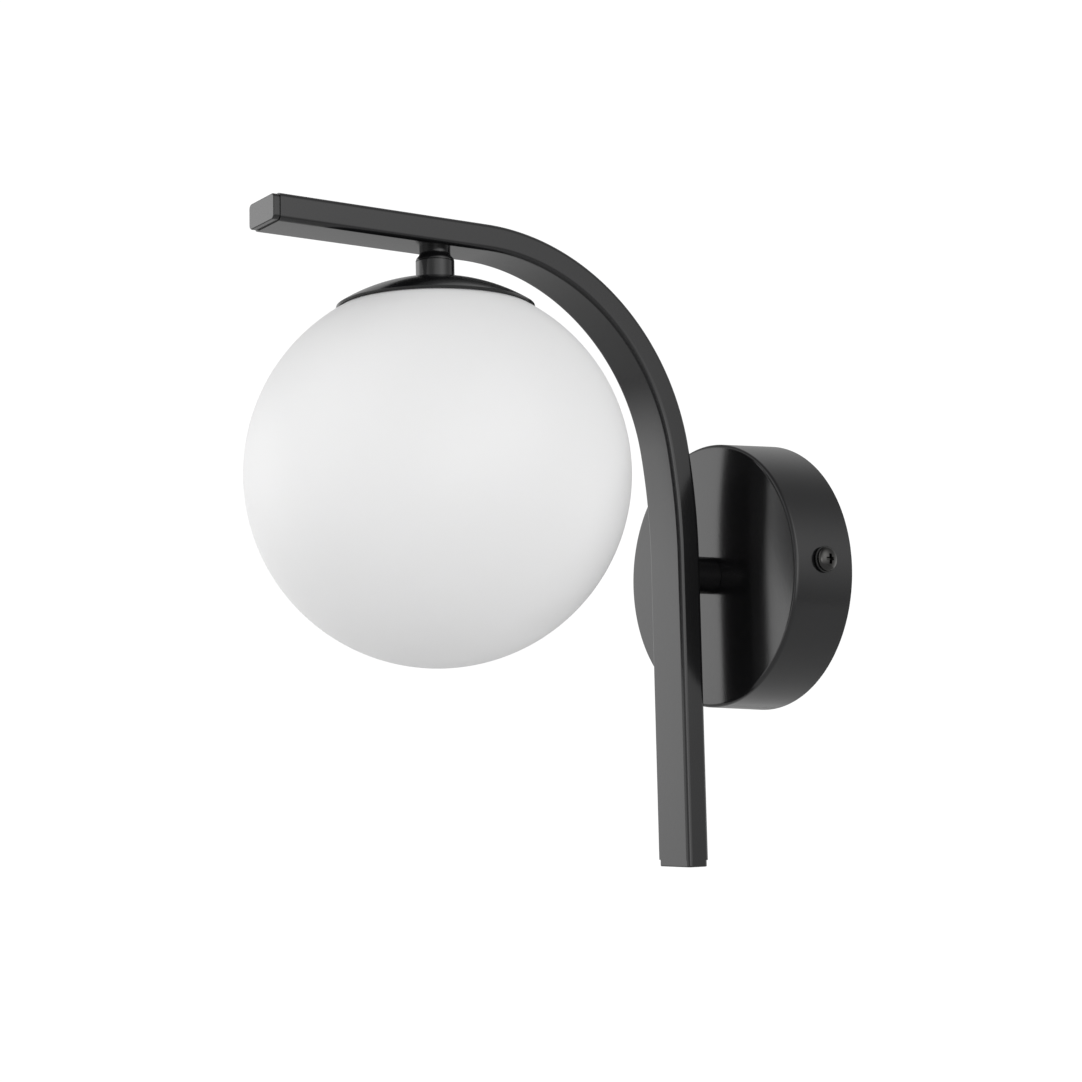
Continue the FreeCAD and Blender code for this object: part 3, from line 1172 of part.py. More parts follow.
# Earth: a screw on the strap, a tag under the canopy nut and the wire between them
turned(
    "earth_screw",
    [
        (0, 0), (earth_screw_size / 2, 0), (earth_screw_size / 2, strap_thickness + wire_radius * 2),
        (earth_head_radius, strap_thickness + wire_radius * 2),
        (earth_head_radius, strap_thickness + wire_radius * 2 + earth_head_thick),
        (0, strap_thickness + wire_radius * 2 + earth_head_thick),
    ],
    (earth_place, 0, 0), FACING_OUT,
)
tag = new_body("earth_tag", (0, -(stub_nut_face), 0), FACING_OUT)
tag_ring = new_sketch(tag, "XY_Plane", "ring")
add_circle(tag_ring, 0, 0, tag_radius)
add_circle(tag_ring, 0, 0, stub_thread / 2 + thread_gap)
pad(tag, tag_ring, washer_thick, "Ring")
tag_tail_sketch = new_sketch(tag, "XY_Plane", "tail")
tail_half = tag_tail_width / 2
add_box(tag_tail_sketch, tag_radius - canopy_wall, -tail_half, tag_radius + tag_tail, tail_half)
pad(tag, tag_tail_sketch, washer_thick, "Tail")

# Live and neutral wires: up from the connector, through the rod, up the tube and down the neck
leg_y = -leg_middle.number
route_back = -globe_reach.number
spread = wire_spread.number
bend_corner_reach = ease_radius.number * math.tan(ease_angle / 2)
first_corner = Vector(0, leg_y, ease_start.number + bend_corner_reach)
bend_reach = bend_radius.number * math.tan(bend_angle / 2)
second_corner = bend_end + Vector(bend_reach, 0, 0)
block_top = block_depth.number / 2
wire_top = block_top + wire_rise.number
pole_y = -(strap_thickness + pole_level).number
rod_mouth = -(stub_rod_end - liner_flange).number
for label, sign in (("neutral_wire", 1), ("live_wire", -1)):
    across = sign * spread
    pole_x = -block_place.number + pole_spacing.number / 2 * sign
    turn = wire_turn.number
    holder_x = sign * pin_offset.number
    holder_z = holder_level.number
    points = [
        (pole_x, pole_y, block_top - pole_radius.number),
        (pole_x, pole_y, wire_top),
        (pole_x / 2, (pole_y + rod_mouth) / 2, wire_top),
        (across, rod_mouth + wire_run.number, 0),
        (across, leg_y, 0),
        (across, leg_y, first_corner.z),
        (across, second_corner.x, arm_level),
        (across, route_back, arm_level),
        (across, route_back, neck_rod_bottom.number - wire_lead.number),
        (holder_x, route_back, holder_z + wire_lead.number),
        (holder_x, route_back, holder_z - wire_strip.number),
    ]
    radii = [
        turn, turn, turn / 2, turn, ease_radius.number, bend_radius.number, turn, turn / 2, turn / 2,
    ]
    nodes[label] = add_wire(label, points, radii, wire_radius.number)

tag_end = Vector((tag_radius + tag_tail).number, -(stub_nut_face + washer_thick / 2).number, 0)
earth_y = -(strap_thickness + wire_radius).number
earth_x = earth_place.number
nodes["earth_wire"] = add_wire(
    "earth_wire",
    [
        (earth_x + earth_screw_size.number / 2 + earth_grip.number, earth_y, 0),
        (earth_x + earth_loop.number, earth_y, 0),
        (earth_x + earth_loop.number, tag_end.y, 0),
        (tag_end.x, tag_end.y, 0),
    ],
    [wire_turn.number, wire_turn.number],
    wire_radius.number,
)

doc.recompute()
for item in doc.Objects:
    if "Invalid" in item.State or "Error" in item.State:
        raise RuntimeError(f"{item.Name} did not build: {item.State}")
for label, item in nodes.items():
    if item.Shape.isNull() or not item.Shape.isValid():
        raise RuntimeError(f"{label} has no valid shape")

os.makedirs("parts", exist_ok=True)
for label, item in nodes.items():
    item.Shape.exportStep(f"parts/{label}.step")
print(f"{len(nodes)} nodes written")
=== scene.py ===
import json
import math

import bmesh
import bpy
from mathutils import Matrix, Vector


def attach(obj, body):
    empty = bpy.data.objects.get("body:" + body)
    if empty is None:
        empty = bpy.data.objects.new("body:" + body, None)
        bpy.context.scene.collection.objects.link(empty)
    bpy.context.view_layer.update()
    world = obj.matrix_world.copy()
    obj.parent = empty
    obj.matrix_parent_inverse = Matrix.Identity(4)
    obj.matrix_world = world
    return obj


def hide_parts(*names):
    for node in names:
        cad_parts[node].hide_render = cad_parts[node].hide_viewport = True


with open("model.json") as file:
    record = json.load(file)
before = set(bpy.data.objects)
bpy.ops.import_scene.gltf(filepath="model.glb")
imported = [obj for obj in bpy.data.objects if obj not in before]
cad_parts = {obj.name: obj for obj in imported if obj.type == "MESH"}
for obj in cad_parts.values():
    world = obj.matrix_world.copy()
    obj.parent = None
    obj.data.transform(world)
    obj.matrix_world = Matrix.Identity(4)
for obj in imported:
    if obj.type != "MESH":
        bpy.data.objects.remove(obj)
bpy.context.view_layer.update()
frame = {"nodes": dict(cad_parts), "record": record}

# The camera stands to the right of the light, 0.8 m off and a little under it, so that the underside of
# the level arm just shows. It looks up by 6 degrees and is turned 56 degrees from square on.
camera_place, camera_turn = (0.64058, -0.53779, -0.07578), (96.353, 1.208, 56.186)
camera_data = bpy.data.cameras.new("camera")
camera_data.lens = 69.44
camera_data.sensor_width = 36.0
camera_data.clip_start = 0.02
camera = bpy.data.objects.new("camera", camera_data)
bpy.context.scene.collection.objects.link(camera)
camera.location = camera_place
camera.rotation_euler = [math.radians(turn) for turn in camera_turn]
bpy.context.scene.camera = camera
bpy.context.scene.view_settings.view_transform = "Standard"

# The studio is a white tent lit from outside, so it is brightest in front of each lamp and falls off smoothly
# round it. Each line is where a lamp stands, how wide its patch is and how bright; tent_dim is the light
# between the patches. A narrow patch is 20 degrees wide at half its brightness, a broad one 45 degrees.
# What the camera sees past the object is plain white.
narrow, broad = 45.0, 9.0
tent_glows = (
    ((-0.77, -0.63, 0.10), narrow, 1.25),
    ((0.92, 0.20, 0.32), broad, 1.91),
    ((-0.86, -0.44, 0.26), narrow, 1.25),
    ((-0.05, -1.00, 0.03), broad, 1.12),
    ((0.22, 0.96, -0.18), broad, 1.40),
    ((-0.19, -0.71, 0.68), broad, 1.16),
    ((-0.99, -0.04, 0.12), broad, 0.90),
    ((-0.81, -0.56, -0.14), narrow, 1.05),
    ((0.75, -0.63, 0.18), broad, 0.45),
    ((0.99, -0.13, -0.07), broad, 0.66),
    ((-0.36, -0.86, -0.38), broad, 0.66),
    ((-0.36, 0.69, 0.62), broad, 0.49),
    ((-0.92, 0.29, -0.27), broad, 0.36),
    ((0.00, 0.57, -0.82), broad, 0.27),
    ((0.58, 0.37, 0.72), broad, 0.21),
    ((-0.58, 0.45, -0.68), broad, 0.17),
    ((0.04, 0.48, 0.88), broad, 0.10),
    ((0.68, -0.40, -0.61), broad, 0.60),
    ((-0.55, -0.79, 0.28), broad, 0.42),
    ((0.90, -0.43, -0.03), narrow, 1.90),
)
tent_dim = 0.120
tent_white = 1.05
studio = bpy.data.worlds.new("studio")
bpy.context.scene.world = studio
studio.use_nodes = True
tent = studio.node_tree
tent.nodes.clear()
tent_place = tent.nodes.new("ShaderNodeTexCoord")
glow_sum = None
for aim, tightness, brightness in tent_glows:
    toward = tent.nodes.new("ShaderNodeVectorMath")
    toward.operation = "DOT_PRODUCT"
    toward.inputs[1].default_value = Vector(aim).normalized()
    falloff = tent.nodes.new("ShaderNodeMath")
    falloff.operation = "MULTIPLY_ADD"
    falloff.inputs[1].default_value = tightness
    falloff.inputs[2].default_value = -tightness
    patch = tent.nodes.new("ShaderNodeMath")
    patch.operation = "EXPONENT"
    added = tent.nodes.new("ShaderNodeMath")
    added.operation = "MULTIPLY_ADD"
    added.inputs[1].default_value = brightness
    added.inputs[2].default_value = tent_dim
    tent.links.new(tent_place.outputs["Generated"], toward.inputs[0])
    tent.links.new(toward.outputs["Value"], falloff.inputs[0])
    tent.links.new(falloff.outputs["Value"], patch.inputs[0])
    tent.links.new(patch.outputs["Value"], added.inputs[0])
    if glow_sum:
        tent.links.new(glow_sum.outputs["Value"], added.inputs[2])
    glow_sum = added
tent_light = tent.nodes.new("ShaderNodeBackground")
tent_seen = tent.nodes.new("ShaderNodeBackground")
tent_seen.inputs["Color"].default_value = (1.0, 1.0, 1.0, 1.0)
tent_seen.inputs["Strength"].default_value = tent_white
tent_path = tent.nodes.new("ShaderNodeLightPath")
tent_mix = tent.nodes.new("ShaderNodeMixShader")
tent_out = tent.nodes.new("ShaderNodeOutputWorld")
tent.links.new(glow_sum.outputs["Value"], tent_light.inputs["Color"])
tent.links.new(tent_path.outputs["Is Camera Ray"], tent_mix.inputs["Fac"])
tent.links.new(tent_light.outputs["Background"], tent_mix.inputs[1])
tent.links.new(tent_seen.outputs["Background"], tent_mix.inputs[2])
tent.links.new(tent_mix.outputs["Shader"], tent_out.inputs["Surface"])


# Satin black powder coat covers all the metalwork that shows: near black, an even satin sheen, and the fine
# pebbled skin that baked powder leaves. The two groups give any finish its slow change of tone and its grain.
def tone_group():
    """Slow change between two colours over a surface, and the mask that drives it."""
    group = bpy.data.node_groups.new("slow_tone", "ShaderNodeTree")
    group.interface.new_socket("Vector", in_out="INPUT", socket_type="NodeSocketVector")
    group.interface.new_socket("Patch Scale", in_out="INPUT", socket_type="NodeSocketFloat")
    group.interface.new_socket("Dark", in_out="INPUT", socket_type="NodeSocketColor")
    group.interface.new_socket("Light", in_out="INPUT", socket_type="NodeSocketColor")
    group.interface.new_socket("Color", in_out="OUTPUT", socket_type="NodeSocketColor")
    group.interface.new_socket("Mask", in_out="OUTPUT", socket_type="NodeSocketFloat")
    entry = group.nodes.new("NodeGroupInput")
    leave = group.nodes.new("NodeGroupOutput")
    noise = group.nodes.new("ShaderNodeTexNoise")
    noise.inputs["Detail"].default_value = 3.0
    mix = group.nodes.new("ShaderNodeMix")
    mix.data_type = "RGBA"
    spread = group.nodes.new("ShaderNodeMapRange")
    spread.inputs["From Min"].default_value = 0.3
    spread.inputs["From Max"].default_value = 0.7
    group.links.new(entry.outputs["Vector"], noise.inputs["Vector"])
    group.links.new(entry.outputs["Patch Scale"], noise.inputs["Scale"])
    group.links.new(noise.outputs["Fac"], spread.inputs["Value"])
    group.links.new(spread.outputs["Result"], mix.inputs["Factor"])
    group.links.new(entry.outputs["Dark"], mix.inputs["A"])
    group.links.new(entry.outputs["Light"], mix.inputs["B"])
    group.links.new(mix.outputs["Result"], leave.inputs["Color"])
    group.links.new(spread.outputs["Result"], leave.inputs["Mask"])
    return group


def grain_group():
    """Height of a fine pebbled skin: broad soft dimples with a finer grain on them."""
    group = bpy.data.node_groups.new("fine_grain", "ShaderNodeTree")
    group.interface.new_socket("Vector", in_out="INPUT", socket_type="NodeSocketVector")
    group.interface.new_socket("Grain Scale", in_out="INPUT", socket_type="NodeSocketFloat")
    group.interface.new_socket("Height", in_out="OUTPUT", socket_type="NodeSocketFloat")
    entry = group.nodes.new("NodeGroupInput")
    leave = group.nodes.new("NodeGroupOutput")
    broad = group.nodes.new("ShaderNodeTexNoise")
    broad.inputs["Detail"].default_value = 2.0
    finer = group.nodes.new("ShaderNodeTexNoise")
    finer.inputs["Detail"].default_value = 1.0
    bigger = group.nodes.new("ShaderNodeMath")
    bigger.operation = "MULTIPLY"
    bigger.inputs[1].default_value = 3.7
    share = group.nodes.new("ShaderNodeMath")
    share.operation = "MULTIPLY_ADD"
    share.inputs[1].default_value = 0.35
    group.links.new(entry.outputs["Vector"], broad.inputs["Vector"])
    group.links.new(entry.outputs["Vector"], finer.inputs["Vector"])
    group.links.new(entry.outputs["Grain Scale"], broad.inputs["Scale"])
    group.links.new(entry.outputs["Grain Scale"], bigger.inputs[0])
    group.links.new(bigger.outputs["Value"], finer.inputs["Scale"])
    group.links.new(finer.outputs["Fac"], share.inputs[0])
    group.links.new(broad.outputs["Fac"], share.inputs[2])
    group.links.new(share.outputs["Value"], leave.inputs["Height"])
    return group


slow_tone = tone_group()
fine_grain = grain_group()


def make_finish(name, dark, light, rough, grain_scale, grain_depth, patch_scale=30.0, metallic=0.0):
    """A finish with its slow change of tone, its spread of roughness and its grain."""
    finish = bpy.data.materials.new(name)
    finish.use_nodes = True
    nodes = finish.node_tree.nodes
    links = finish.node_tree.links
    shader = nodes["Principled BSDF"]
    place = nodes.new("ShaderNodeTexCoord")
    tone = nodes.new("ShaderNodeGroup")
    tone.node_tree = slow_tone
    tone.inputs["Patch Scale"].default_value = patch_scale
    tone.inputs["Dark"].default_value = (*dark, 1.0)
    tone.inputs["Light"].default_value = (*light, 1.0)
    grain = nodes.new("ShaderNodeGroup")
    grain.node_tree = fine_grain
    grain.inputs["Grain Scale"].default_value = grain_scale
    sheen = nodes.new("ShaderNodeMapRange")
    sheen.inputs["To Min"].default_value = rough[0]
    sheen.inputs["To Max"].default_value = rough[1]
    bump = nodes.new("ShaderNodeBump")
    bump.inputs["Strength"].default_value = 1.0
    bump.inputs["Distance"].default_value = grain_depth
    links.new(place.outputs["Object"], tone.inputs["Vector"])
    links.new(place.outputs["Object"], grain.inputs["Vector"])
    links.new(tone.outputs["Color"], shader.inputs["Base Color"])
    links.new(tone.outputs["Mask"], sheen.inputs["Value"])
    links.new(sheen.outputs["Result"], shader.inputs["Roughness"])
    links.new(grain.outputs["Height"], bump.inputs["Height"])
    links.new(bump.outputs["Normal"], shader.inputs["Normal"])
    shader.inputs["Metallic"].default_value = metallic
    return finish


satin_black = make_finish(
    "satin_black", dark=(0.0045, 0.0045, 0.005), light=(0.006, 0.006, 0.0065), rough=(0.15, 0.18),
    grain_scale=1100.0, grain_depth=0.000008,
)


# Canopy: a cup pressed from 1 mm steel sheet with a small round at its front edge, powder coated. It hangs on
# the wall strap by the two screws in its side, and the light's stub is nutted through its front.
def deselect_all():
    """Leave edit mode with nothing selected."""
    if bpy.context.mode != "OBJECT":
        bpy.ops.object.mode_set(mode="OBJECT")
    bpy.ops.object.select_all(action="DESELECT")


def name_new(name):
    """The object that an operator has just added, with its name, in edit mode."""
    piece = bpy.context.active_object
    piece.name = name
    piece.data.name = name
    bpy.ops.object.mode_set(mode="EDIT")
    bpy.ops.mesh.select_mode(type="VERT")
    return piece


def pick(piece, kind, wanted):
    """Select the points, edges or faces of a piece in edit mode for which wanted says yes. It is asked with a
    point's place, with the places of an edge's two ends, or with a face's middle and normal."""
    bpy.ops.mesh.select_mode(type=kind)
    bpy.ops.mesh.select_all(action="DESELECT")
    mesh = bmesh.from_edit_mesh(piece.data)
    if kind == "FACE":
        for face in mesh.faces:
            if wanted(face.calc_center_median(), face.normal):
                face.select_set(True)
    elif kind == "EDGE":
        for edge in mesh.edges:
            if wanted(edge.verts[0].co, edge.verts[1].co):
                edge.select_set(True)
    else:
        for point in mesh.verts:
            if wanted(point.co):
                point.select_set(True)
    mesh.select_flush_mode()
    bmesh.update_edit_mesh(piece.data)


def settle(piece, body, finish, nodes, smooth=35.0):
    """Put a finished piece's place into its mesh, smooth it, give it its finish, hide the frame's pieces that
    it stands for and hang it on its body.
    """
    deselect_all()
    piece.select_set(True)
    bpy.context.view_layer.objects.active = piece
    bpy.ops.object.transform_apply(location=True, rotation=True, scale=True)
    bpy.ops.object.shade_smooth_by_angle(angle=math.radians(smooth))
    flat = piece.modifiers.new("flat", "WEIGHTED_NORMAL")
    flat.keep_sharp = True
    bpy.ops.object.modifier_apply(modifier="flat")
    piece.data.materials.clear()
    piece.data.materials.append(finish)
    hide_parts(*nodes)
    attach(piece, body)


def lathe(name, outline, steps=128, closed=True):
    """Turned piece round the Z axis. The outline's points are (radius, height) or, where the corner is to be
    rounded, (radius, height, corner radius). One point is drawn along it, its two ends are joined if it is
    closed, and the line is spun."""
    deselect_all()
    bpy.ops.mesh.primitive_plane_add(size=0.01)
    piece = name_new(name)
    bpy.ops.mesh.select_all(action="SELECT")
    bpy.ops.mesh.merge(type="CENTER")
    bpy.ops.transform.translate(value=(outline[0][0], 0.0, outline[0][1]))
    for before, after in zip(outline, outline[1:]):
        step = (after[0] - before[0], 0.0, after[1] - before[1])
        bpy.ops.mesh.extrude_region_move(TRANSFORM_OT_translate={"value": step})
    if closed:
        ends = [Vector((point[0], 0.0, point[1])) for point in (outline[0], outline[-1])]
        pick(piece, "VERT", lambda at: any((at - end).length < 1e-7 for end in ends))
        bpy.ops.mesh.edge_face_add()
    for corner in outline:
        if len(corner) == 3:
            at_corner = Vector((corner[0], 0.0, corner[1]))
            pick(piece, "VERT", lambda at: (at - at_corner).length < 1e-7)
            bpy.ops.mesh.bevel(offset=corner[2], segments=5, affect="VERTICES")
    bpy.ops.mesh.select_mode(type="VERT")
    bpy.ops.mesh.select_all(action="SELECT")
    bpy.ops.mesh.spin(steps=steps, angle=2 * math.pi, center=(0.0, 0.0, 0.0), axis=(0.0, 0.0, 1.0))
    bpy.ops.mesh.select_all(action="SELECT")
    bpy.ops.mesh.remove_doubles(threshold=1e-6)
    bpy.ops.mesh.normals_make_consistent(inside=False)
    bpy.ops.object.mode_set(mode="OBJECT")
    return piece


def cut_with(piece, cutter):
    """Take the cutter out of the piece, and delete the cutter."""
    deselect_all()
    bpy.context.view_layer.objects.active = piece
    piece.select_set(True)
    cut = piece.modifiers.new("cut", "BOOLEAN")
    cut.operation = "DIFFERENCE"
    cut.solver = "EXACT"
    cut.object = cutter
    bpy.ops.object.modifier_apply(modifier="cut")
    bpy.data.objects.remove(cutter, do_unlink=True)


canopy_radius, canopy_draft, canopy_depth, canopy_sheet = 0.0526, 0.001, 0.027, 0.001
canopy_round, canopy_inner_round, rod_hole = 0.0015, 0.0005, 0.00515
screw_hole, screw_depth, screw_rise, drill_long = 0.00215, 0.0133, 0.0019, 0.12
cup_front = canopy_depth - canopy_sheet
cup_inside = canopy_radius - canopy_draft * cup_front / canopy_depth - canopy_sheet
canopy = lathe(
    "wall_canopy_cup",
    [
        (rod_hole, canopy_depth), (canopy_radius - canopy_draft, canopy_depth, canopy_round),
        (canopy_radius, 0.0), (canopy_radius - canopy_sheet, 0.0),
        (cup_inside, cup_front, canopy_inner_round), (rod_hole, cup_front),
    ],
    steps=192,
)
canopy.rotation_euler = (math.pi / 2, 0.0, 0.0)
bpy.ops.mesh.primitive_cylinder_add(
    vertices=48, radius=screw_hole, depth=drill_long, location=(0.0, -screw_depth, screw_rise),
    rotation=(0.0, math.pi / 2, 0.0),
)
cut_with(canopy, bpy.context.active_object)
settle(canopy, "fixture", satin_black, ["wall_canopy"])

# Side screws: low round heads in polished black nickel with a pressed cross, over a black nylon washer. They
# go through the canopy's side into the ears of the wall strap, so the screws are what holds the light up.
black_nickel = make_finish(
    "black_nickel", dark=(0.045, 0.044, 0.043), light=(0.065, 0.064, 0.062), rough=(0.08, 0.12),
    grain_scale=2400.0, grain_depth=0.000002, patch_scale=160.0, metallic=1.0,
)
black_nylon = make_finish(
    "black_nylon", dark=(0.003, 0.003, 0.003), light=(0.005, 0.005, 0.005), rough=(0.5, 0.6),
    grain_scale=3000.0, grain_depth=0.000004, patch_scale=300.0,
)
washer_bore, washer_radius, washer_thick, washer_gap = 0.00205, 0.0051, 0.0006, 0.0003
under_edge, washer_edge = 0.00015, 0.0002
head_radius, head_edge, head_thick, head_steps = 0.0046, 0.0006, 0.0025, 12
cross_reach, cross_width, cross_depth, cross_taper = 0.0029, 0.0019, 0.0018, 0.4
shank_end, shank_start, shank_point, shank_radius = -0.00794, -0.00734, 0.0014, 0.00195
thread_pitch, thread_stop, thread_valley, thread_crest = 0.0007, -0.0008, 0.00168, 0.00197
washer_seat = canopy_radius - canopy_draft * (screw_depth - washer_radius) / canopy_depth + washer_gap
screw_seat = washer_seat + washer_thick
for side, sign in (("right", 1.0), ("left", -1.0)):
    turn_out = (0.0, sign * math.pi / 2, 0.0)
    washer = lathe(
        f"screw_washer_{side}_ring",
        [
            (washer_bore, 0.0), (washer_radius, 0.0, under_edge),
            (washer_radius, washer_thick, washer_edge), (washer_bore, washer_thick),
        ],
        steps=64,
    )
    washer.rotation_euler = turn_out
    washer.location = (sign * washer_seat, -screw_depth, screw_rise)
    settle(washer, f"washer_{side}", black_nylon, [f"screw_washer_{side}"])

    screw_outline = [(0.0, shank_end), (shank_point, shank_end), (shank_radius, shank_start)]
    level = shank_start
    while level < thread_stop:
        screw_outline.append((thread_valley, level + thread_pitch / 2))
        screw_outline.append((thread_crest, level + thread_pitch))
        level += thread_pitch
    screw_outline.extend([(thread_crest, 0.0), (head_radius, 0.0, under_edge), (head_radius, head_edge)])
    for step in range(1, head_steps):
        swing = math.radians(90.0 * step / head_steps)
        crown = head_edge + (head_thick - head_edge) * math.sin(swing)
        screw_outline.append((head_radius * math.cos(swing), crown))
    screw_outline.append((0.0, head_thick))
    screw = lathe(f"canopy_screw_{side}_head", screw_outline, steps=72, closed=False)
    for turn_cross in (0.0, math.pi / 2):
        deselect_all()
        bpy.ops.mesh.primitive_cube_add(size=1.0)
        wing = name_new("cross_wing")
        bpy.ops.mesh.select_all(action="SELECT")
        wing_size = (2 * cross_reach, cross_width, 2 * cross_depth)
        bpy.ops.transform.resize(value=wing_size, center_override=(0.0, 0.0, 0.0))
        bpy.ops.transform.translate(value=(0.0, 0.0, head_thick))
        pick(wing, "FACE", lambda at, normal: normal.z < -0.9)
        foot_size = (cross_taper, cross_taper, 1.0)
        bpy.ops.transform.resize(value=foot_size, center_override=(0.0, 0.0, head_thick - cross_depth))
        bpy.ops.object.mode_set(mode="OBJECT")
        wing.rotation_euler = (0.0, 0.0, turn_cross)
        cut_with(screw, wing)
    screw.rotation_euler = turn_out
    screw.location = (sign * screw_seat, -screw_depth, screw_rise)
    settle(screw, f"screw_{side}", black_nickel, [f"canopy_screw_{side}"])

# Stub: a turned steel spacer between canopy and arm, screwed on a hollow rod and coated with the rest.
stub_bore, stub_radius, stub_long, stub_edge = 0.00505, 0.0073, 0.012, 0.0003
stub = lathe(
    "stub_spacer",
    [
        (stub_bore, 0.0), (stub_radius, 0.0, stub_edge), (stub_radius, stub_long, stub_edge),
        (stub_bore, stub_long),
    ],
    steps=96,
)
stub.rotation_euler = (math.pi / 2, 0.0, 0.0)
stub.location = (0.0, -canopy_depth, 0.0)
settle(stub, "fixture", satin_black, ["stub_bush"])

# Arm: one length of flat 20 by 10 mm steel tube, bent cold on its narrow side. The bend is a large even
# radius that eases off gently into the upright leg.
tube_wide, tube_thick, tube_round, tube_wall = 0.020, 0.010, 0.0019, 0.0012
leg_y, arm_z, foot_z, arm_end = -0.044, 0.1204, -0.1098, -0.2184
ease_radius, bend_radius, ease_start = 0.254, 0.0868, 0.0052
straight_parts, corner_parts, ease_parts, bend_parts = 6, 6, 14, 72
bend_angle = math.acos((arm_z - ease_start - bend_radius) / (ease_radius - bend_radius))
ease_angle = math.pi / 2 - bend_angle
deselect_all()
bpy.ops.mesh.primitive_plane_add(size=1.0, location=(0.0, leg_y, foot_z))
arm = name_new("arm_flat_tube")
bpy.ops.mesh.select_all(action="SELECT")
bpy.ops.transform.resize(value=(tube_wide, tube_thick, 1.0), center_override=(0.0, leg_y, foot_z))
bpy.ops.object.mode_set(mode="OBJECT")
bpy.ops.object.transform_apply(location=True, rotation=True, scale=True)
bpy.ops.object.mode_set(mode="EDIT")
pick(arm, "VERT", lambda at: True)
bpy.ops.mesh.bevel(offset=tube_round, segments=corner_parts, affect="VERTICES")
bpy.ops.mesh.select_all(action="SELECT")
bpy.ops.mesh.delete(type="ONLY_FACE")
bpy.ops.mesh.select_mode(type="EDGE")
bpy.ops.mesh.select_all(action="SELECT")
leg_step = (0.0, 0.0, (ease_start - foot_z) / straight_parts)
for part in range(straight_parts):
    bpy.ops.mesh.extrude_region_move(TRANSFORM_OT_translate={"value": leg_step})
ease_centre = (0.0, leg_y - ease_radius, ease_start)
bpy.ops.mesh.spin(steps=ease_parts, angle=ease_angle, center=ease_centre, axis=(-1.0, 0.0, 0.0))
bend_centre = (
    0.0,
    leg_y - ease_radius + (ease_radius - bend_radius) * math.cos(ease_angle),
    ease_start + (ease_radius - bend_radius) * math.sin(ease_angle),
)
bpy.ops.mesh.spin(steps=bend_parts, angle=bend_angle, center=bend_centre, axis=(-1.0, 0.0, 0.0))
arm_step = (0.0, (arm_end - bend_centre[1]) / straight_parts, 0.0)
for part in range(straight_parts):
    bpy.ops.mesh.extrude_region_move(TRANSFORM_OT_translate={"value": arm_step})
bpy.ops.mesh.select_all(action="SELECT")
bpy.ops.mesh.remove_doubles(threshold=1e-7)
bpy.ops.mesh.normals_make_consistent(inside=False)
bpy.ops.object.mode_set(mode="OBJECT")
wall = arm.modifiers.new("wall", "SOLIDIFY")
wall.thickness = tube_wall
wall.offset = -1.0
wall.use_even_offset = False
bpy.ops.object.modifier_apply(modifier="wall")
settle(arm, "fixture", satin_black, ["arm_tube"], smooth=28.0)

# Plugs: each open end of the tube is closed by a set-in cap, a little smaller than the tube, with softly
# rounded edges and a hollow ribbed stem that grips inside.
plug_inset, plug_thick, plug_edge = 0.0004, 0.0025, 0.00045
stem_middle, stem_size, stem_wall, stem_hollow = -0.0044, (0.0158, 0.0058, 0.0092), 0.0016, 0.0078
rib_levels, rib_size, stem_end = (-0.0048, -0.0016), (0.0174, 0.0074, 0.0008), -0.0085
for name, node, place, turn_plug in (
    ("arm_end_cap", "arm_end_plug", (0.0, arm_end, arm_z), math.pi / 2),
    ("foot_cap", "foot_plug", (0.0, leg_y, foot_z), math.pi),
):
    deselect_all()
    bpy.ops.mesh.primitive_plane_add(size=1.0)
    cap = name_new(name)
    bpy.ops.mesh.select_all(action="SELECT")
    bpy.ops.transform.resize(value=(tube_wide - 2 * plug_inset, tube_thick - 2 * plug_inset, 1.0))
    pick(cap, "VERT", lambda at: True)
    bpy.ops.mesh.bevel(offset=tube_round - plug_inset / 2, segments=corner_parts, affect="VERTICES")
    bpy.ops.mesh.select_mode(type="FACE")
    bpy.ops.mesh.select_all(action="SELECT")
    bpy.ops.mesh.extrude_region_move(TRANSFORM_OT_translate={"value": (0.0, 0.0, plug_thick)})
    pick(cap, "EDGE", lambda a, b: a.z > plug_thick - 1e-6 and b.z > plug_thick - 1e-6)
    bpy.ops.mesh.bevel(offset=plug_edge, segments=5)
    bpy.ops.mesh.select_all(action="DESELECT")
    bpy.ops.mesh.primitive_cube_add(size=1.0, location=(0.0, 0.0, stem_middle))
    bpy.ops.transform.resize(value=stem_size, center_override=(0.0, 0.0, stem_middle))
    pick(cap, "FACE", lambda at, normal: at.z < stem_end)
    bpy.ops.mesh.inset(thickness=stem_wall)
    bpy.ops.mesh.extrude_region_move(TRANSFORM_OT_translate={"value": (0.0, 0.0, stem_hollow)})
    for level in rib_levels:
        bpy.ops.mesh.select_all(action="DESELECT")
        bpy.ops.mesh.primitive_cube_add(size=1.0, location=(0.0, 0.0, level))
        bpy.ops.transform.resize(value=rib_size, center_override=(0.0, 0.0, level))
    bpy.ops.mesh.select_all(action="SELECT")
    bpy.ops.mesh.normals_make_consistent(inside=False)
    bpy.ops.object.mode_set(mode="OBJECT")
    cap.rotation_euler = (turn_plug, 0.0, 0.0)
    cap.location = place
    settle(cap, "fixture", satin_black, [node])

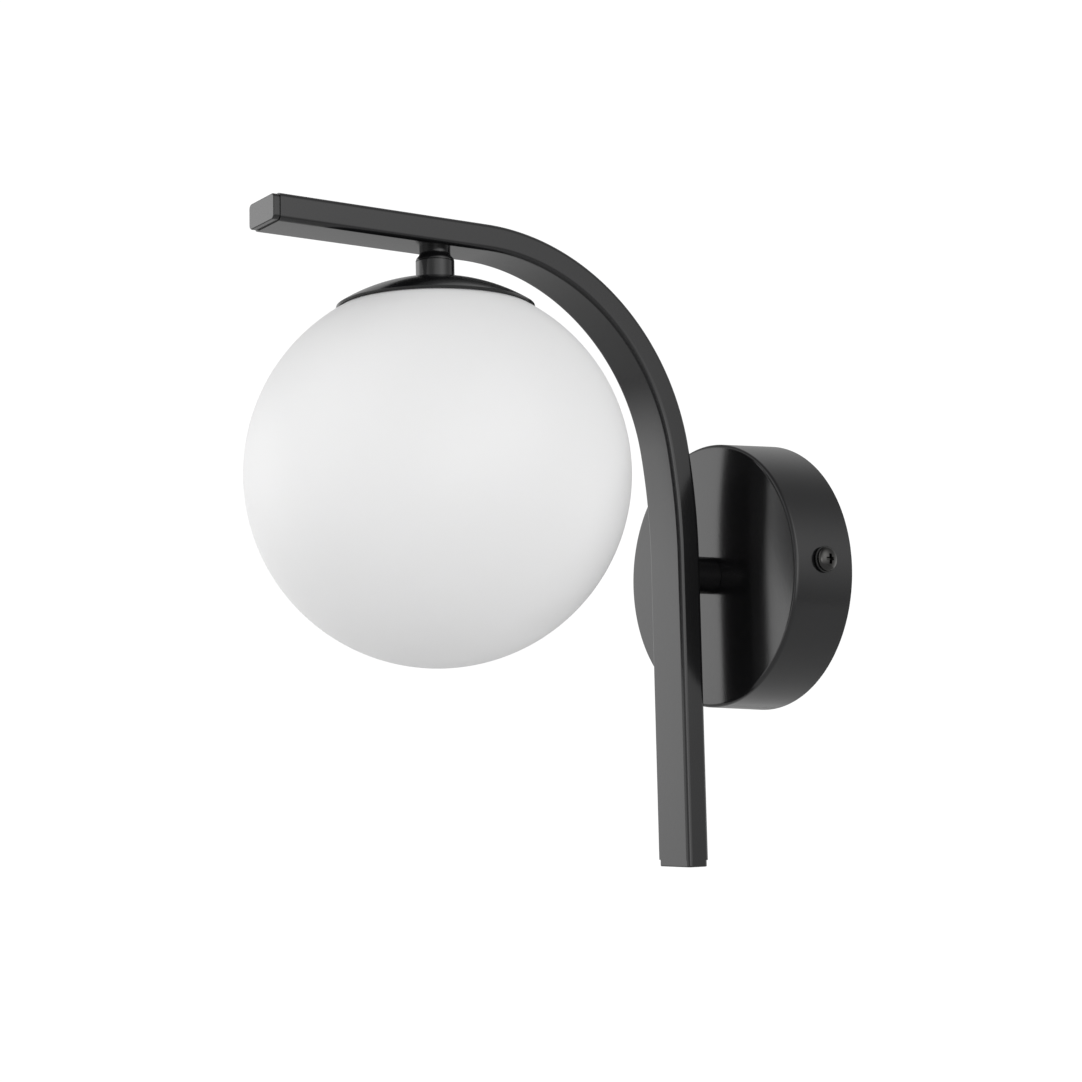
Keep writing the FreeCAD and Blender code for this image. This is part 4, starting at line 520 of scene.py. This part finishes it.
# Neck: a boss welded under the arm flares to the width of a plain turned collar, which clamps the dish.
# A hollow rod runs down through both.
globe_y = -0.1507
boss_low, boss_high, seat_z = 0.1109, 0.1154, 0.1040
boss_bore, neck_bore, collar_edge, flare_steps = 0.0041, 0.00415, 0.00035, 8
boss_narrow, neck_wide, flare = 0.0057, 0.0071, 0.0031
flare_radius = (flare**2 + (neck_wide - boss_narrow) ** 2) / (4 * (neck_wide - boss_narrow))
flare_turn = 2 * math.atan2(neck_wide - boss_narrow, flare)
boss_outline = [(boss_bore, 0.0)]
for step in range(flare_steps + 1):
    angle = flare_turn * step / flare_steps
    outward = neck_wide - flare_radius + flare_radius * math.cos(angle)
    boss_outline.append((outward, flare_radius * math.sin(angle)))
for step in range(1, flare_steps + 1):
    angle = flare_turn * (1 - step / flare_steps)
    outward = boss_narrow + flare_radius - flare_radius * math.cos(angle)
    boss_outline.append((outward, flare - flare_radius * math.sin(angle)))
boss_outline.extend([(boss_narrow, boss_high - boss_low), (boss_bore, boss_high - boss_low)])
boss = lathe("neck_boss_turned", boss_outline, steps=96)
boss.location = (0.0, globe_y, boss_low)
settle(boss, "fixture", satin_black, ["neck_boss"], smooth=50.0)
collar_high = boss_low - seat_z
collar = lathe(
    "neck_collar_turned",
    [
        (neck_bore, 0.0), (neck_wide, 0.0, collar_edge), (neck_wide, collar_high, collar_edge),
        (neck_bore, collar_high),
    ],
    steps=96,
)
collar.location = (0.0, globe_y, seat_z)
settle(collar, "fixture", satin_black, ["neck_collar"])

# Dish: a shallow cap spun from 1 mm sheet, with a flat seat for the collar and a plain cut rim. It hides the
# threaded ring that the globe hangs on.
dish_sphere, dish_sheet, dish_seat, dish_rim = 0.067, 0.001, 0.008, 0.0363
dish_steps, rim_swell = 36, 0.002
dish_centre = seat_z - math.sqrt(dish_sphere**2 - dish_seat**2)
inside = dish_sphere - dish_sheet
seat_turn, rim_turn = math.asin(dish_seat / dish_sphere), math.asin(dish_rim / dish_sphere)
seat_level = seat_z - dish_centre
dish_outline = [(neck_bore, seat_level)]
for step in range(dish_steps + 1):
    angle = seat_turn + (rim_turn - seat_turn) * step / dish_steps
    dish_outline.append((dish_sphere * math.sin(angle), dish_sphere * math.cos(angle)))
under_level = seat_level - dish_sheet
under_turn = math.acos(under_level / inside)
# The cut edge swells a little, as a trimmed and coated edge does.
edge_sphere, edge_turn = inside + dish_sheet / 2, rim_turn + rim_swell
dish_outline.append((edge_sphere * math.sin(edge_turn), edge_sphere * math.cos(edge_turn)))
for step in range(dish_steps + 1):
    angle = rim_turn + (under_turn - rim_turn) * step / dish_steps
    dish_outline.append((inside * math.sin(angle), inside * math.cos(angle)))
dish_outline.append((neck_bore, under_level))
dish = lathe("dish_spun", dish_outline, steps=160)
dish.location = (0.0, globe_y, dish_centre)
settle(dish, "fixture", satin_black, ["dish"], smooth=40.0)

# Globe: blown opal glass, etched to a soft satin skin, with its mouth ground flat and a neck that turns back
# inside. Grooves in the neck take the ring under the dish, on which the globe screws up.
opal_glass = make_finish(
    "opal_glass", dark=(0.80, 0.80, 0.80), light=(0.82, 0.82, 0.82), rough=(0.42, 0.46),
    grain_scale=500.0, grain_depth=0.000002, patch_scale=12.0,
)
opal_shader = opal_glass.node_tree.nodes["Principled BSDF"]
opal_shader.inputs["Subsurface Weight"].default_value = 0.15
opal_shader.inputs["Subsurface Scale"].default_value = 0.004
opal_shader.inputs["Subsurface Radius"].default_value = (1.0, 1.0, 0.9)
globe_radius, glass_wall, globe_z = 0.070, 0.0025, 0.03231
mouth_level, mouth_bore, mouth_wall, mouth_deep = 0.06649, 0.017, 0.003, 0.009
mouth_edge, lip_bore_edge, lip_back_edge, ball_steps = 0.0006, 0.0008, 0.0012, 96
groove_first, groove_last, groove_pitch = 0.0014, 0.0024, 0.0030
groove_deep, groove_step = 0.0008, 0.0006
glass_inside = globe_radius - glass_wall
ball_outline = []
mouth_turn = math.acos(-mouth_level / globe_radius)
for step in range(ball_steps + 1):
    angle = mouth_turn * step / ball_steps
    ball_outline.append((globe_radius * math.sin(angle), -globe_radius * math.cos(angle)))
ball_outline.append((mouth_bore, mouth_level, mouth_edge))
groove = mouth_level - groove_first
while groove > mouth_level - mouth_deep + groove_last:
    ball_outline.extend([
        (mouth_bore, groove), (mouth_bore + groove_deep, groove - groove_step),
        (mouth_bore + groove_deep, groove - 2 * groove_step), (mouth_bore, groove - 3 * groove_step),
    ])
    groove -= groove_pitch
ball_outline.append((mouth_bore, mouth_level - mouth_deep, lip_bore_edge))
ball_outline.append((mouth_bore + mouth_wall, mouth_level - mouth_deep, lip_back_edge))
neck_join = math.sqrt(glass_inside**2 - (mouth_bore + mouth_wall) ** 2)
neck_turn = math.acos(-neck_join / glass_inside)
for step in range(ball_steps + 1):
    angle = neck_turn * (1 - step / ball_steps)
    ball_outline.append((glass_inside * math.sin(angle), -glass_inside * math.cos(angle)))
globe = lathe("globe_opal_glass", ball_outline, steps=160, closed=False)
globe.location = (0.0, globe_y, globe_z)
settle(globe, "globe", opal_glass, ["globe_glass"], smooth=50.0)

# Inside parts keep the shapes that the frame gives them, with finishes of their own: zinc on the strap,
# rods and nuts, brass on the contacts, unglazed ceramic on the lampholder, plastic on lamp and wires.
zinc_steel = make_finish(
    "zinc_steel", dark=(0.52, 0.53, 0.55), light=(0.64, 0.65, 0.66), rough=(0.28, 0.42),
    grain_scale=700.0, grain_depth=0.000006, patch_scale=120.0, metallic=1.0,
)
plain_brass = make_finish(
    "plain_brass", dark=(0.62, 0.45, 0.20), light=(0.74, 0.56, 0.28), rough=(0.25, 0.38),
    grain_scale=900.0, grain_depth=0.000005, patch_scale=200.0, metallic=1.0,
)
holder_ceramic = make_finish(
    "holder_ceramic", dark=(0.74, 0.71, 0.64), light=(0.80, 0.78, 0.71), rough=(0.55, 0.7),
    grain_scale=900.0, grain_depth=0.00003, patch_scale=150.0,
)
white_plastic = make_finish(
    "white_plastic", dark=(0.74, 0.74, 0.71), light=(0.79, 0.79, 0.77), rough=(0.4, 0.5),
    grain_scale=1500.0, grain_depth=0.00001, patch_scale=100.0,
)
lamp_plastic = make_finish(
    "lamp_plastic", dark=(0.78, 0.78, 0.75), light=(0.82, 0.82, 0.80), rough=(0.25, 0.32),
    grain_scale=1200.0, grain_depth=0.000004, patch_scale=100.0,
)
lamp_cover = make_finish(
    "lamp_cover", dark=(0.82, 0.81, 0.78), light=(0.86, 0.85, 0.83), rough=(0.4, 0.5),
    grain_scale=1500.0, grain_depth=0.000006, patch_scale=80.0,
)
silicone = make_finish(
    "silicone_ring", dark=(0.70, 0.70, 0.69), light=(0.76, 0.76, 0.75), rough=(0.5, 0.6),
    grain_scale=1500.0, grain_depth=0.00001, patch_scale=100.0,
)
brown_sleeve = make_finish(
    "brown_sleeve", dark=(0.13, 0.055, 0.03), light=(0.17, 0.075, 0.04), rough=(0.35, 0.45),
    grain_scale=2000.0, grain_depth=0.00001, patch_scale=120.0,
)
blue_sleeve = make_finish(
    "blue_sleeve", dark=(0.02, 0.11, 0.38), light=(0.03, 0.15, 0.46), rough=(0.35, 0.45),
    grain_scale=2000.0, grain_depth=0.00001, patch_scale=120.0,
)
green_sleeve = make_finish(
    "green_sleeve", dark=(0.12, 0.36, 0.05), light=(0.55, 0.56, 0.04), rough=(0.35, 0.45),
    grain_scale=2000.0, grain_depth=0.00001, patch_scale=160.0,
)
kept_finishes = {
    "zinc_steel": zinc_steel, "brass": plain_brass, "ceramic": holder_ceramic,
    "white_plastic": white_plastic, "lamp_plastic": lamp_plastic, "lamp_cover": lamp_cover,
    "silicone": silicone, "brown_sleeve": brown_sleeve, "blue_sleeve": blue_sleeve,
    "green_sleeve": green_sleeve,
}
for entry in frame["record"]["subparts"]:
    kept = frame["nodes"][entry["node"]]
    if entry["material_slot"] in kept_finishes:
        for holder in kept.material_slots:
            holder.material = kept_finishes[entry["material_slot"]]

# The floor is a plain pale disc, well under the light and out of the camera's sight.
floor_radius, floor_z = 1.1, -0.42
deselect_all()
bpy.ops.mesh.primitive_circle_add(
    vertices=96, radius=floor_radius, fill_type="NGON", location=(0.0, 0.0, floor_z)
)
floor = bpy.context.active_object
floor.name = "floor"
floor_finish = make_finish(
    "pale_floor", dark=(0.90, 0.90, 0.90), light=(0.92, 0.92, 0.92), rough=(0.8, 0.9),
    grain_scale=40.0, grain_depth=0.00005, patch_scale=1.0,
)
floor.data.materials.append(floor_finish)
